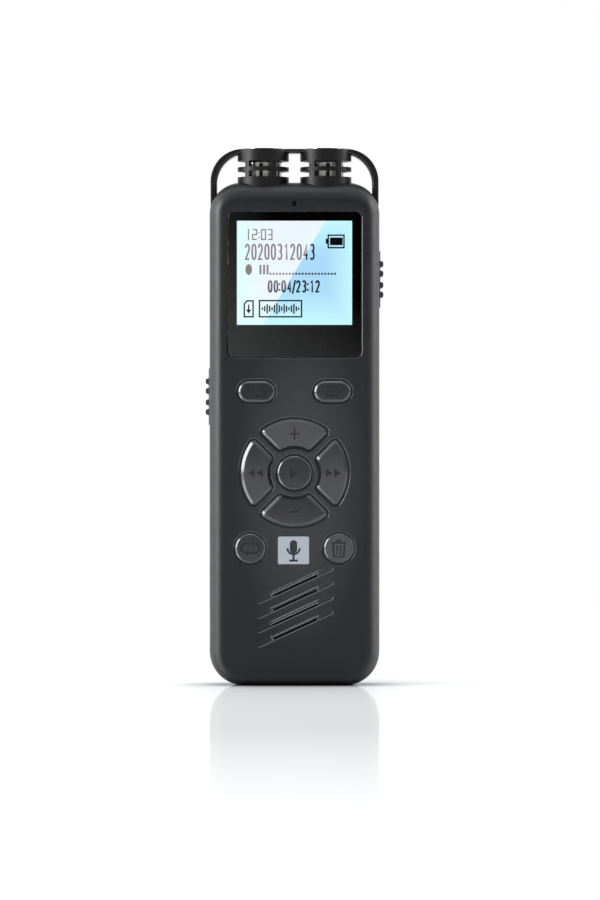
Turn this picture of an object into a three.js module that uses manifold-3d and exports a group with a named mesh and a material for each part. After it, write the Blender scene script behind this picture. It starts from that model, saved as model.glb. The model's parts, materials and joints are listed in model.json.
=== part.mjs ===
// Handheld voice recorder, standing upright on its bottom end.
// Millimetres. +X is the user's right, -Y is the display side, +Z is up.
// The origin is the middle of the bottom end.
import * as THREE from "three";
import { mergeVertices } from "three/addons/utils/BufferGeometryUtils.js";
import Module from "manifold-3d";

const wasm = await Module();
wasm.setup();

// ---------------------------------------------------------------- driving dimensions

// Casing: a rounded slab whose front and back edges roll over by an amount that
// differs at the sides, the top and the bottom.
const WIDTH = 35;
const HEIGHT = 103.5;
const DEPTH = 14;
const TOP_CORNER = 6.6;
const BOTTOM_CORNER = 7;
const EDGE = {
  inset: { side: 3, top: 4.5, bottom: 2.4 },
  depth: { side: 4.5, top: 4.5, bottom: 3 },
};
const CAVITY_EDGE = {
  inset: { side: 1.8, top: 2.8, bottom: 1.4 },
  depth: { side: 2.6, top: 2.6, bottom: 2.2 },
};
const WALL = { side: 1.5, front: 1.6, back: 1.4 };
const FRONT = -DEPTH / 2;
const BACK = DEPTH / 2;
const FRONT_INNER = FRONT + WALL.front;
const BACK_INNER = BACK - WALL.back;
const PARTING_GAP = 0.1;
// Clearance round a piece that fits in a hole or between its neighbours.
const FIT = 0.1;
const LIP = { outer: 0.8, inner: 1.45, height: 0.9, clearance: 0.1 };

// Display window, the glass of the liquid-crystal panel behind it, and its ledge.
const WINDOW = { width: 27.4, height: 30, z: 82.4, corner: 1.2, thickness: 0.8, sunk: 0.05 };
const WINDOW_GAP = 0.1;
const VIEW = { width: 25.4, height: 23.4, z: 84.8 };
const PANEL = { width: 26.4, height: 27.4, z: 83.5, thickness: 1.2 };
const BACKLIGHT = { width: 26.2, height: 25.4, thickness: 1 };
const RIBBON = {
  thickness: 0.14,
  width: 12,
  path: [[-2.75, 78], [-2.75, 72.5], [-2.05, 69.5], [-1.95, 65.4]],
};
const CONNECTOR = { width: 13.2, front: -2.6, bottom: 63.6, top: 65.2 };
const HOLDER_WALL = 0.8;
const HOLDER_BACK = -2.3;

// Keys. Every key stands proud of the face and has a flange that keeps it in.
const KEY = { proud: 0.35, bevel: 0.35, clearance: 0.2 };
const FLANGE = { reach: 0.5, gap: 0.12, thickness: 0.5 };
const PLUNGER = { radius: 1.2, end: -3.85 };
const PILL = { width: 7.6, height: 4.4, x: 7.8, z: 60.4 };
const DISC = { radius: 3.1, x: 9.1, z: 28.2 };
const PAD = { z: 43.7, outer: 11.1, inner: 5.2, halfWeb: 0.85, corner: 0.9, plunger: 8.3 };
const PLAY_RADIUS = 3.55;

// Rubber key mat and the sheet of snap domes under it.
const MAT = { width: 28, bottom: 25.4, top: 63, front: -3, back: -2.4, padRadius: 1.6, padFront: -3.4 };
const DOMES = { front: -1.85, back: -1.75, radius: 1.8, height: 0.35 };

// A thin metal badge let into the face, pierced with the outline of a microphone.
const BADGE = { width: 6.4, height: 5.7, x: -0.2, z: 27.8, thickness: 0.25, sunk: 0.3, corner: 0.35 };
const BADGE_MIC = { width: 1.5, length: 2.7, z: 0.75, cup: 1.25, cupZ: 0.45, line: 0.42, foot: -2.1 };

// Loudspeaker behind four slanting slots.
const SPEAKER = { width: 11, height: 15, z: 16.5, front: -4.25, back: -1.95, wall: 0.9 };
const MAGNET_RADIUS = 3;
const GASKET_WALL = 1;
const GRILLE = { count: 4, length: 17.2, width: 1.2, pitch: 2.98, topZ: 20.9, angle: 24.7, sunk: 0.55 };
const GRILLE_HALF_OPENING = 5.03;

// Side slide switches: a ribbed plate in a shallow recess, with a stem through the wall.
const SLIDER = { length: 11.8, width: 4.6, thickness: 0.9, proud: 0.2, gap: 0.15 };
const RIB = { z: [-3.15, -1.175, 1.175, 3.15], height: 0.62, base: 1.5, tip: 0.9, width: 4 };
const STEM = { length: 3.6, width: 1.2, end: 14.6, fork: 16.2, slot: 15.3 };
const SWITCH = { outer: 14.2, inner: 10.8, front: -0.6, back: 1.4, wall: 0.5, depth: 0.9 };
const LEVER = { length: 1.2, width: 0.9, inner: 13.5, outer: 16.1 };
const RECORD = { side: -1, z: 59.4, down: 0, up: 2.5 };
const POWER = { side: 1, z: 83.6, down: 1.3, up: 1.3 };

// Microphone towers, one each side of the middle, and the hoop that guards them.
const MIC_X = 6.46;
const BARREL = { radius: 5.3, bore: 4.3, bottom: 100.2, top: 110.5, segments: 32 };
const BARREL_FLOOR = { bottom: 102.2, top: 103.3 };
const BARREL_CEILING = 108;
const SLOT_ROWS = [[104.7, 105.9], [106.75, 108]];
const MIC_RIB = { angle: 32, width: 1 };
const LEFT_MIC_TURN = -7;
const CAPSULE = { radius: 3.6, bottom: 104.2, top: 107.8, rim: 0.5, dish: 0.2 };
const BOOT = { radius: 3.9, stem: 1.3 };
const CAP = { radius: 3.7, height: 1.25, stem: 1, stemBottom: 108.6 };
const HOOP = { halfWidth: 17.33, top: 110.5, radius: 6.7, depth: 5 };
const HOOP_INSIDE = { halfWidth: 16, top: 109.62, radius: 6.4 };
const TAB = { inner: 15.6, outer: 16.8, bottom: 96, top: 102.6, halfDepth: 2 };

// Circuit board, in the middle of the thickness, and what it carries.
const BOARD = { front: -1.7, back: -0.7, grow: -2.2, top: 99.4 };
// A battery lead runs up from the cell's top; its path gives X as a multiple of its side.
const LEAD = {
  radius: 0.35,
  path: [[1, 2.4, 56.3], [1, 2.3, 58.5], [1.6, 0.9, 61.5], [1.8, -0.25, 63.5]],
};
const BATTERY = { width: 26, bottom: 9.5, top: 56, front: 0.3, back: 4.9 };
const USB = { width: 7.5, front: -0.55, back: 2.05, bottom: 0.35, top: 5.6, wall: 0.35 };
const USB_TONGUE = { width: 5.1, front: 0.35, back: 0.95, bottom: 1.15, top: 5.2 };
const USB_MOUTH = { reach: 0.35, depth: 2 };
const JACK = { y: 0.5, z: 71.8, half: 2.4, inner: 4.5, outer: 15.85, collar: 2.35, bore: 1.8 };
const CARD = { bottom: 72.5, top: 84.5, inner: -1.5, outer: -15.9, front: -0.6, back: 0.9 };
const CARD_WALL = { face: 0.3, end: 0.5, inner: 1 };
const SIDE_PORT_DEPTH = 2.4;
const LIGHT = { z: 99, radius: 0.42 };

// Casing screws, put in from the back.
const SCREWS = [[-12.2, 5.6], [12.2, 5.6], [-13.3, 65.6], [13.3, 65.6]];
const SCREW = { head: 1.6, headHeight: 0.9, shank: 0.75, seat: 4.8, tip: -3.5 };
const SCREW_CROSS = { halfLength: 0.95, halfWidth: 0.2, floor: 0.5 };
const BOSS = { radius: 1.9, hole: 0.85, column: 2.4, counterbore: 1.75 };

// ---------------------------------------------------------------- materials

function finish(color, roughness, metalness = 0) {
  return new THREE.MeshStandardMaterial({ color, roughness, metalness });
}

const casingPlastic = finish(0x2b2c30, 0.5);
const keyPlastic = finish(0x3a3b40, 0.3);
const windowPlastic = finish(0x101113, 0.08);
const panelGlass = finish(0xbfe6ff, 0.2);
const whitePlastic = finish(0xe8ebe8, 0.5);
const micPlastic = finish(0x1f2023, 0.35);
const hoopMetal = finish(0x242221, 0.35, 0.6);
const polishedSteel = finish(0xd8d8d8, 0.15, 1);
const plainSteel = finish(0xa8aaad, 0.35, 1);
const boardGreen = finish(0x1d5a34, 0.5);
const rubber = finish(0x202022, 0.8);
const chipPlastic = finish(0x161618, 0.6);
const foil = finish(0xc3c6c9, 0.4, 0.8);
const amberFilm = finish(0xb8772a, 0.4);
const redWire = finish(0xa01818, 0.5);
const meshMetal = finish(0x55565a, 0.4, 0.9);

// ---------------------------------------------------------------- solids

// A closed three.js geometry as a manifold-3d solid.
function solidOf(geometry) {
  const bare = geometry.index ? geometry.toNonIndexed() : geometry.clone();
  for (const name of Object.keys(bare.attributes)) {
    if (name !== "position") bare.deleteAttribute(name);
  }
  const merged = mergeVertices(bare, 1e-4);
  const mesh = new wasm.Mesh({
    numProp: 3,
    vertProperties: merged.attributes.position.array,
    triVerts: new Uint32Array(merged.index.array),
  });
  return new wasm.Manifold(mesh);
}

function geometryOf(solid) {
  const mesh = solid.getMesh();
  const geometry = new THREE.BufferGeometry();
  const positions = new Float32Array(mesh.vertProperties);
  geometry.setAttribute("position", new THREE.BufferAttribute(positions, 3));
  geometry.setIndex(new THREE.BufferAttribute(new Uint32Array(mesh.triVerts), 1));
  geometry.computeVertexNormals();
  return geometry;
}

function join(...solids) {
  return solids.reduce((whole, solid) => whole.add(solid));
}

function cut(solid, ...tools) {
  return tools.reduce((rest, tool) => rest.subtract(tool), solid);
}

// A box between two corners.
function block(x0, x1, y0, y1, z0, z1) {
  const geometry = new THREE.BoxGeometry(x1 - x0, y1 - y0, z1 - z0);
  return solidOf(geometry.translate((x0 + x1) / 2, (y0 + y1) / 2, (z0 + z1) / 2));
}

// Round bars along each axis, from one end to the other.
function barX(radius, x0, x1, y, z, segments = 24) {
  const geometry = new THREE.CylinderGeometry(radius, radius, x1 - x0, segments);
  return solidOf(geometry.rotateZ(Math.PI / 2).translate((x0 + x1) / 2, y, z));
}

function barY(radius, y0, y1, x, z, segments = 20) {
  const geometry = new THREE.CylinderGeometry(radius, radius, y1 - y0, segments);
  return solidOf(geometry.translate(x, (y0 + y1) / 2, z));
}

function barZ(radius, z0, z1, x, y, segments = 24) {
  const geometry = new THREE.CylinderGeometry(radius, radius, z1 - z0, segments);
  return solidOf(geometry.rotateX(Math.PI / 2).translate(x, y, (z0 + z1) / 2));
}

// A flat shape drawn in X and Z, run from y0 back to y1.
function plate(shape, y0, y1, bevel = 0, curveSegments = 6) {
  const geometry = new THREE.ExtrudeGeometry(shape, {
    depth: y1 - y0 - 2 * bevel,
    bevelEnabled: bevel > 0,
    bevelThickness: bevel,
    bevelSize: bevel,
    bevelOffset: -bevel,
    bevelSegments: 1,
    curveSegments,
  });
  return solidOf(geometry.rotateX(Math.PI / 2).translate(0, y1 - bevel, 0));
}

// ---------------------------------------------------------------- outlines in X and Z

function roundedRectangle(width, height, radius, x = 0, z = 0) {
  const shape = new THREE.Shape();
  const right = x + width / 2 - radius;
  const left = x - width / 2 + radius;
  const top = z + height / 2 - radius;
  const bottom = z - height / 2 + radius;
  shape.absarc(right, bottom, radius, -Math.PI / 2, 0, false);
  shape.absarc(right, top, radius, 0, Math.PI / 2, false);
  shape.absarc(left, top, radius, Math.PI / 2, Math.PI, false);
  shape.absarc(left, bottom, radius, Math.PI, (3 * Math.PI) / 2, false);
  shape.closePath();
  return shape;
}

// A bar with half-round ends, lying along X.
function stadium(length, width) {
  const shape = new THREE.Shape();
  const centre = (length - width) / 2;
  shape.absarc(centre, 0, width / 2, -Math.PI / 2, Math.PI / 2, false);
  shape.absarc(-centre, 0, width / 2, Math.PI / 2, (3 * Math.PI) / 2, false);
  shape.closePath();
  return shape;
}

function circle(radius, x = 0, z = 0) {
  return new THREE.Shape().absarc(x, z, radius, 0, 2 * Math.PI, false);
}

// One quarter of the key ring, pointing up: between two arcs about the ring's centre,
// with straight sides parallel to the diagonals and rounded corners.
function quadrant(grow) {
  const corner = PAD.corner + grow;
  const outer = PAD.outer + grow;
  const inner = PAD.inner - grow;
  const offset = PAD.halfWeb + PAD.corner;
  const cornerAt = (radius) => {
    const along = Math.sqrt(radius * radius - offset * offset);
    return [(along - offset) * Math.SQRT1_2, (along + offset) * Math.SQRT1_2];
  };
  const [ox, oz] = cornerAt(PAD.outer - PAD.corner);
  const [ix, iz] = cornerAt(PAD.inner + PAD.corner);
  const outerAngle = Math.atan2(oz, ox);
  const innerAngle = Math.atan2(iz, ix);
  const shape = new THREE.Shape();
  shape.absarc(0, 0, outer, outerAngle, Math.PI - outerAngle, false);
  shape.absarc(-ox, oz, corner, Math.PI - outerAngle, 1.25 * Math.PI, false);
  shape.absarc(-ix, iz, corner, 1.25 * Math.PI, 2 * Math.PI - innerAngle, false);
  shape.absarc(0, 0, inner, Math.PI - innerAngle, innerAngle, true);
  shape.absarc(ix, iz, corner, Math.PI + innerAngle, 1.75 * Math.PI, false);
  shape.absarc(ox, oz, corner, -0.25 * Math.PI, outerAngle, false);
  shape.closePath();
  return shape;
}

// The casing's outline, grown by an amount: points with their outward directions.
function casingOutline(grow, perCorner) {
  const corners = [
    [WIDTH / 2 - BOTTOM_CORNER, BOTTOM_CORNER, BOTTOM_CORNER, -90],
    [WIDTH / 2 - TOP_CORNER, HEIGHT - TOP_CORNER, TOP_CORNER, 0],
    [-WIDTH / 2 + TOP_CORNER, HEIGHT - TOP_CORNER, TOP_CORNER, 90],
    [-WIDTH / 2 + BOTTOM_CORNER, BOTTOM_CORNER, BOTTOM_CORNER, 180],
  ];
  const points = [];
  for (const [x, z, radius, start] of corners) {
    for (let i = 0; i <= perCorner; i++) {
      const angle = THREE.MathUtils.degToRad(start + (90 * i) / perCorner);
      const nx = Math.cos(angle);
      const nz = Math.sin(angle);
      points.push({ x: x + (radius + grow) * nx, z: z + (radius + grow) * nz, nx, nz });
    }
  }
  return points;
}

function casingShape(grow, perCorner = 8) {
  const points = casingOutline(grow, perCorner);
  return new THREE.Shape(points.map((p) => new THREE.Vector2(p.x, p.z)));
}

// The casing's slab: its outline carried from front to back with rolled edges.
function slab(grow, front, back, edge, perCorner, steps) {
  const outline = casingOutline(grow, perCorner);
  const blend = (sizes, p) => {
    const end = p.nz > 0 ? sizes.top : sizes.bottom;
    return sizes.side * p.nx * p.nx + end * p.nz * p.nz;
  };
  const positions = [];
  const ring = (face, inwards, turn) => {
    for (const p of outline) {
      const inset = blend(edge.inset, p) * (1 - Math.sin(turn));
      const y = face + inwards * blend(edge.depth, p) * (1 - Math.cos(turn));
      positions.push(p.x - p.nx * inset, y, p.z - p.nz * inset);
    }
  };
  for (let i = 0; i <= steps; i++) ring(front, 1, (Math.PI / 2) * (i / steps));
  for (let i = steps; i >= 0; i--) ring(back, -1, (Math.PI / 2) * (i / steps));
  const count = outline.length;
  const rings = 2 * (steps + 1);
  const index = [];
  for (let k = 0; k + 1 < rings; k++) {
    for (let i = 0; i < count; i++) {
      const a = k * count + i;
      const b = k * count + ((i + 1) % count);
      index.push(a, a + count, b, b, a + count, b + count);
    }
  }
  const last = (rings - 1) * count;
  for (let i = 1; i + 1 < count; i++) {
    index.push(0, i, i + 1);
    index.push(last, last + i + 1, last + i);
  }
  const geometry = new THREE.BufferGeometry();
  geometry.setAttribute("position", new THREE.Float32BufferAttribute(positions, 3));
  geometry.setIndex(index);
  return solidOf(geometry);
}

// ---------------------------------------------------------------- where the keys are

// Each key: its outline grown by any amount, its place, and its plunger from there.
const KEYS = {
  back_button: { shape: pill, x: -PILL.x, z: PILL.z },
  menu_button: { shape: pill, x: PILL.x, z: PILL.z },
  volume_up_button: { shape: quadrant, x: 0, z: PAD.z, turn: 0 },
  rewind_button: { shape: quadrant, x: 0, z: PAD.z, turn: 90 },
  volume_down_button: { shape: quadrant, x: 0, z: PAD.z, turn: 180 },
  forward_button: { shape: quadrant, x: 0, z: PAD.z, turn: 270 },
  play_button: { shape: (grow) => circle(PLAY_RADIUS + grow), x: 0, z: PAD.z },
  repeat_button: { shape: (grow) => circle(DISC.radius + grow), x: -DISC.x, z: DISC.z },
  delete_button: { shape: (grow) => circle(DISC.radius + grow), x: DISC.x, z: DISC.z },
};

function pill(grow) {
  return stadium(PILL.width + 2 * grow, PILL.height + 2 * grow);
}

// Where a key's plunger is, in the casing's X and Z.
function plungerPlace(key) {
  if (key.turn === undefined) return [key.x, key.z];
  const angle = THREE.MathUtils.degToRad(90 + key.turn);
  return [key.x + PAD.plunger * Math.cos(angle), key.z + PAD.plunger * Math.sin(angle)];
}

// A key's outline run through the casing, turned and put in its place.
function keyPlate(key, grow, y0, y1, bevel = 0) {
  const solid = plate(key.shape(grow), y0, y1, bevel, key.turn === undefined ? 6 : 3);
  return solid.rotate([0, -(key.turn ?? 0), 0]).translate([key.x, 0, key.z]);
}

// ---------------------------------------------------------------- casing

function grilleSlots(y0, y1) {
  const slots = [];
  for (let i = 0; i < GRILLE.count; i++) {
    const shape = stadium(GRILLE.length, GRILLE.width);
    const slot = plate(shape, y0, y1, 0, 4).rotate([0, -GRILLE.angle, 0]);
    slots.push(slot.translate([0, 0, GRILLE.topZ - i * GRILLE.pitch]));
  }
  return join(...slots);
}

// The recess that a slider's plate runs in, and the slot for its stem.
function sliderCuts({ side, z, down, up }) {
  const x = WIDTH / 2;
  const floor = x + SLIDER.proud - SLIDER.thickness - SLIDER.gap;
  const halfPlate = SLIDER.length / 2 + SLIDER.gap;
  const halfStem = STEM.length / 2 + SLIDER.gap;
  const halfWidth = SLIDER.width / 2 + FIT;
  const recess = block(floor, x + 1, -halfWidth, halfWidth, z - halfPlate - down, z + halfPlate + up);
  const halfSlot = STEM.width / 2 + FIT;
  const slot = block(STEM.slot, x, -halfSlot, halfSlot, z - halfStem - down, z + halfStem + up);
  const cuts = join(recess, slot);
  return side < 0 ? cuts.mirror([1, 0, 0]) : cuts;
}

// Everything that is cut out of both halves of the casing.
function sharedCuts() {
  const usbHalf = USB.width / 2 + USB_MOUTH.reach;
  return [
    sliderCuts(RECORD),
    sliderCuts(POWER),
    barZ(BARREL.radius + 0.12, BARREL.bottom - 0.3, HEIGHT + 1, -MIC_X, 0, BARREL.segments),
    barZ(BARREL.radius + 0.12, BARREL.bottom - 0.3, HEIGHT + 1, MIC_X, 0, BARREL.segments),
    tabPocket(-1),
    tabPocket(1),
    block(-usbHalf, usbHalf, USB.front - 0.3, USB.back + 0.3, -1, USB_MOUTH.depth),
    barX(JACK.collar + FIT, WIDTH / 2 - SIDE_PORT_DEPTH, WIDTH / 2 + 1, JACK.y, JACK.z),
    block(
      -WIDTH / 2 - 1, -WIDTH / 2 + SIDE_PORT_DEPTH,
      CARD.front + FIT, CARD.back - FIT,
      CARD.bottom + FIT, CARD.top - FIT,
    ),
  ];
}

function tabPocket(side) {
  const half = TAB.halfDepth + FIT;
  const pocket = block(TAB.inner - FIT, TAB.outer + FIT, -half, half, TAB.bottom - FIT, TAB.top);
  return side < 0 ? pocket.mirror([1, 0, 0]) : pocket;
}

function hollowCasing() {
  const outside = slab(0, FRONT, BACK, EDGE, 8, 5);
  const inside = slab(-WALL.side, FRONT_INNER, BACK_INNER, CAVITY_EDGE, 5, 3);
  return cut(outside, inside);
}

function frontShell() {
  const half = block(-WIDTH, WIDTH, -DEPTH, -PARTING_GAP / 2, -5, HEIGHT + 5);
  const step = LIP.outer - LIP.clearance;
  const lipSeat = plate(casingShape(-step), -LIP.height - LIP.clearance, 1);
  let shell = cut(hollowCasing().intersect(half), lipSeat);
  for (const [x, z] of SCREWS) {
    shell = shell.add(barY(BOSS.radius, FRONT_INNER - 0.3, -PARTING_GAP, x, z, 16));
  }
  const windowSeat = roundedRectangle(
    WINDOW.width + 2 * WINDOW_GAP,
    WINDOW.height + 2 * WINDOW_GAP,
    WINDOW.corner + WINDOW_GAP,
    0,
    WINDOW.z,
  );
  const view = roundedRectangle(VIEW.width, VIEW.height, 0.5, 0, VIEW.z);
  const opening = block(
    -GRILLE_HALF_OPENING, GRILLE_HALF_OPENING, FRONT, FRONT_INNER + 1, 0, HEIGHT / 2,
  );
  shell = cut(
    shell,
    ...sharedCuts(),
    plate(windowSeat, FRONT - 1, FRONT + WINDOW.sunk + WINDOW.thickness + 0.05, 0, 3),
    plate(view, FRONT, FRONT_INNER + 1, 0, 2),
    grilleSlots(FRONT - 1, FRONT + GRILLE.sunk),
    grilleSlots(FRONT - 1, FRONT_INNER + 1).intersect(opening),
    badgePlate(0.08, FRONT - 1, FRONT + BADGE.sunk),
    barY(LIGHT.radius + 0.08, FRONT - 1, FRONT_INNER + 1, 0, LIGHT.z, 12),
    ...Object.values(KEYS).map((key) => keyPlate(key, KEY.clearance, FRONT - 1, FRONT_INNER + 1)),
    ...SCREWS.map(([x, z]) => barY(BOSS.hole, FRONT_INNER + 1, 1, x, z, 12)),
  );
  return shell;
}

function rearShell() {
  const half = block(-WIDTH, WIDTH, PARTING_GAP / 2, DEPTH, -5, HEIGHT + 5);
  const lip = cut(
    plate(casingShape(-LIP.outer), -LIP.height, WALL.side),
    plate(casingShape(-LIP.inner), -DEPTH, DEPTH),
  );
  let shell = join(hollowCasing().intersect(half), lip);
  for (const [x, z] of SCREWS) {
    shell = shell.add(barY(BOSS.column, PARTING_GAP, BACK_INNER + 0.3, x, z, 16));
  }
  return cut(
    shell,
    ...sharedCuts(),
    ...SCREWS.map(([x, z]) => barY(BOSS.counterbore, SCREW.seat, BACK + 1, x, z, 16)),
    ...SCREWS.map(([x, z]) => barY(SCREW.shank + 0.2, -1, BACK, x, z, 12)),
  );
}

// A cross-head screw on its own axis, its head's seat at y = 0.
function screw() {
  const head = barY(SCREW.head, 0.05, 0.05 + SCREW.headHeight, 0, 0, 16);
  const shank = barY(SCREW.shank, SCREW.tip - SCREW.seat, 0.3, 0, 0, 12);
  const { halfLength, halfWidth, floor } = SCREW_CROSS;
  const slot = block(-halfLength, halfLength, floor, 2, -halfWidth, halfWidth);
  return cut(join(head, shank), slot, slot.rotate([0, 90, 0]));
}

// ---------------------------------------------------------------- display

function displayWindow() {
  const shape = roundedRectangle(WINDOW.width, WINDOW.height, WINDOW.corner, 0, WINDOW.z);
  const front = FRONT + WINDOW.sunk;
  return plate(shape, front, front + WINDOW.thickness, 0.1, 2);
}

const PANEL_FRONT = FRONT_INNER + FIT;
const BACKLIGHT_FRONT = PANEL_FRONT + PANEL.thickness + FIT;

function lcdPanel() {
  const half = PANEL.width / 2;
  const bottom = PANEL.z - PANEL.height / 2;
  return block(-half, half, PANEL_FRONT, PANEL_FRONT + PANEL.thickness, bottom, bottom + PANEL.height);
}

function backlight() {
  const half = BACKLIGHT.width / 2;
  const top = PANEL.z + PANEL.height / 2 - 0.3;
  const back = BACKLIGHT_FRONT + BACKLIGHT.thickness;
  return block(-half, half, BACKLIGHT_FRONT, back, top - BACKLIGHT.height, top);
}

function displayHolder() {
  const inner = FIT;
  const outer = inner + HOLDER_WALL;
  const ring = (grow) =>
    roundedRectangle(PANEL.width + 2 * grow, PANEL.height + 2 * grow, grow, 0, PANEL.z);
  return cut(
    plate(ring(outer), FRONT_INNER + 0.25, HOLDER_BACK, 0, 2),
    plate(ring(inner), FRONT, 0, 0, 2),
  );
}

// A flat flexible ribbon: a thin strip along a curve in Y and Z, as wide as given.
function ribbon(points, thickness, width) {
  const line = new THREE.CatmullRomCurve3(points.map(([y, z]) => new THREE.Vector3(y, z, 0)));
  const samples = line.getSpacedPoints(12);
  const side = (sign) =>
    samples.map((p, i) => {
      const tangent = line.getTangentAt(i / 12);
      const offset = (sign * thickness) / 2;
      return new THREE.Vector2(p.x - tangent.y * offset, p.y + tangent.x * offset);
    });
  const shape = new THREE.Shape([...side(1), ...side(-1).reverse()]);
  const geometry = new THREE.ExtrudeGeometry(shape, { depth: width, bevelEnabled: false });
  // Drawn in X and Y and run along Z; a third of a turn about (1, 1, 1) makes that Y, Z and X.
  const turn = new THREE.Matrix4().makeBasis(
    new THREE.Vector3(0, 1, 0),
    new THREE.Vector3(0, 0, 1),
    new THREE.Vector3(1, 0, 0),
  );
  return solidOf(geometry.applyMatrix4(turn).translate(-width / 2, 0, 0));
}

function ribbonConnector() {
  const { width, front, bottom, top } = CONNECTOR;
  return block(-width / 2, width / 2, front, BOARD.front - 0.05, bottom, top);
}

// ---------------------------------------------------------------- badge

function badgePlate(grow, y0, y1) {
  const { width, height, corner, x, z } = BADGE;
  return plate(roundedRectangle(width + 2 * grow, height + 2 * grow, corner, x, z), y0, y1, 0, 2);
}

// The microphone that is cut through the badge: a capsule, the cup under it, and its foot.
function badgeMicrophone(y0, y1) {
  const { width, length, z, cup, cupZ, line, foot } = BADGE_MIC;
  const capsule = plate(stadium(length, width), y0, y1, 0, 3).rotate([0, 90, 0]).translate([0, 0, z]);
  const ring = cut(
    barY(cup + line / 2, y0, y1, 0, cupZ, 16),
    barY(cup - line / 2, y0 - 1, y1 + 1, 0, cupZ, 16),
    block(-3, 3, y0 - 1, y1 + 1, cupZ, cupZ + 3),
  );
  const stem = block(-line / 2, line / 2, y0, y1, foot, cupZ - cup);
  const base = block(-cup * 0.7, cup * 0.7, y0, y1, foot - line / 2, foot + line / 2);
  return join(capsule, ring, stem, base).translate([BADGE.x, 0, BADGE.z]);
}

function badge() {
  const front = FRONT + BADGE.sunk - BADGE.thickness - 0.03;
  return cut(badgePlate(0, front, front + BADGE.thickness), badgeMicrophone(FRONT - 1, FRONT_INNER));
}

// ---------------------------------------------------------------- keys

function keyBody(key) {
  const capBack = FRONT_INNER + FLANGE.gap + 0.1;
  const flangeFront = FRONT_INNER + FLANGE.gap;
  const flangeBack = flangeFront + FLANGE.thickness;
  const home = { ...key, x: 0, z: 0 };
  const [px, pz] = plungerPlace(home);
  return join(
    keyPlate(home, 0, FRONT - KEY.proud, capBack + KEY.bevel, KEY.bevel),
    keyPlate(home, FLANGE.reach, flangeFront, flangeBack),
    barY(PLUNGER.radius, flangeBack - 0.1, PLUNGER.end, px, pz, 12),
  );
}

function keyMat() {
  const half = MAT.width / 2;
  const pads = Object.values(KEYS).map((key) => {
    const [x, z] = plungerPlace(key);
    return barY(MAT.padRadius, MAT.padFront, MAT.back - 0.1, x, z, 10);
  });
  return join(block(-half, half, MAT.front, MAT.back, MAT.bottom, MAT.top), ...pads);
}

function domeSheet() {
  const half = MAT.width / 2;
  const domes = Object.values(KEYS).map((key) => {
    const [x, z] = plungerPlace(key);
    const geometry = new THREE.CylinderGeometry(DOMES.radius, DOMES.radius * 0.5, DOMES.height, 10);
    const y = DOMES.front - DOMES.height / 2 + 0.03;
    return solidOf(geometry.translate(x, y, z));
  });
  return join(block(-half, half, DOMES.front, DOMES.back, MAT.bottom, MAT.top - 0.3), ...domes);
}

// ---------------------------------------------------------------- side sliders

// Built on the right side about the slider's own height, and mirrored for the left.
function sliderKnob({ side }) {
  const outer = WIDTH / 2 + SLIDER.proud;
  const inner = outer - SLIDER.thickness;
  const halfWidth = SLIDER.width / 2;
  const halfLength = SLIDER.length / 2;
  const ribs = RIB.z.map((z) => {
    const shape = new THREE.Shape();
    shape.moveTo(-0.1, -RIB.base / 2);
    shape.lineTo(RIB.height, -RIB.tip / 2);
    shape.lineTo(RIB.height, RIB.tip / 2);
    shape.lineTo(-0.1, RIB.base / 2);
    shape.closePath();
    return plate(shape, -RIB.width / 2, RIB.width / 2).translate([outer, 0, z]);
  });
  const halfStem = STEM.width / 2;
  const stem = block(STEM.end, inner + 0.2, -halfStem, halfStem, -STEM.length / 2, STEM.length / 2);
  const halfFork = LEVER.length / 2 + FIT;
  const fork = block(STEM.end - 1, STEM.fork, -STEM.width, STEM.width, -halfFork, halfFork);
  const knob = join(
    block(inner, outer, -halfWidth, halfWidth, -halfLength, halfLength),
    cut(stem, fork),
    ...ribs,
  );
  return side < 0 ? knob.mirror([1, 0, 0]) : knob;
}

function switchLever({ side }) {
  const half = LEVER.length / 2;
  const halfWidth = LEVER.width / 2;
  const lever = block(LEVER.inner, LEVER.outer, -halfWidth, halfWidth, -half, half);
  return side < 0 ? lever.mirror([1, 0, 0]) : lever;
}

function switchBody({ side, down, up }) {
  const { outer, inner, front, back, wall, depth } = SWITCH;
  const bottom = -LEVER.length / 2 - FIT - down;
  const top = LEVER.length / 2 + FIT + up;
  const halfWidth = LEVER.width / 2 + FIT;
  const body = cut(
    block(inner, outer, front, back, bottom - wall, top + wall),
    block(outer - depth, outer + 1, -halfWidth, halfWidth, bottom, top),
  );
  return side < 0 ? body.mirror([1, 0, 0]) : body;
}

// ---------------------------------------------------------------- microphones

// A slotted tower on its own axis: two rows of slots, each left with four ribs.
function micBarrel() {
  const outside = barZ(BARREL.radius, BARREL.bottom, BARREL.top, 0, 0, BARREL.segments);
  const slotCutters = SLOT_ROWS.map(([bottom, top]) => {
    const ribs = [MIC_RIB.angle, -MIC_RIB.angle, 180 - MIC_RIB.angle, 180 + MIC_RIB.angle].map((a) =>
      block(-MIC_RIB.width / 2, MIC_RIB.width / 2, -8, -BARREL.bore + 0.4, bottom - 1, top + 1)
        .rotate([0, 0, a]),
    );
    return cut(barZ(BARREL.radius + 1, bottom, top, 0, 0, 12), ...ribs);
  });
  return cut(
    outside,
    barZ(BARREL.bore, BARREL_FLOOR.top, BARREL_CEILING, 0, 0, BARREL.segments),
    barZ(BARREL.bore, BARREL.bottom - 1, BARREL_FLOOR.bottom, 0, 0, BARREL.segments),
    barZ(BOOT.stem + FIT, BARREL.bottom, BARREL_CEILING, 0, 0, 12),
    ...slotCutters,
    barZ(CAP.stem + FIT, CAP.stemBottom - FIT, BARREL.top + 1, 0, 0, 12),
  );
}

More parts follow.
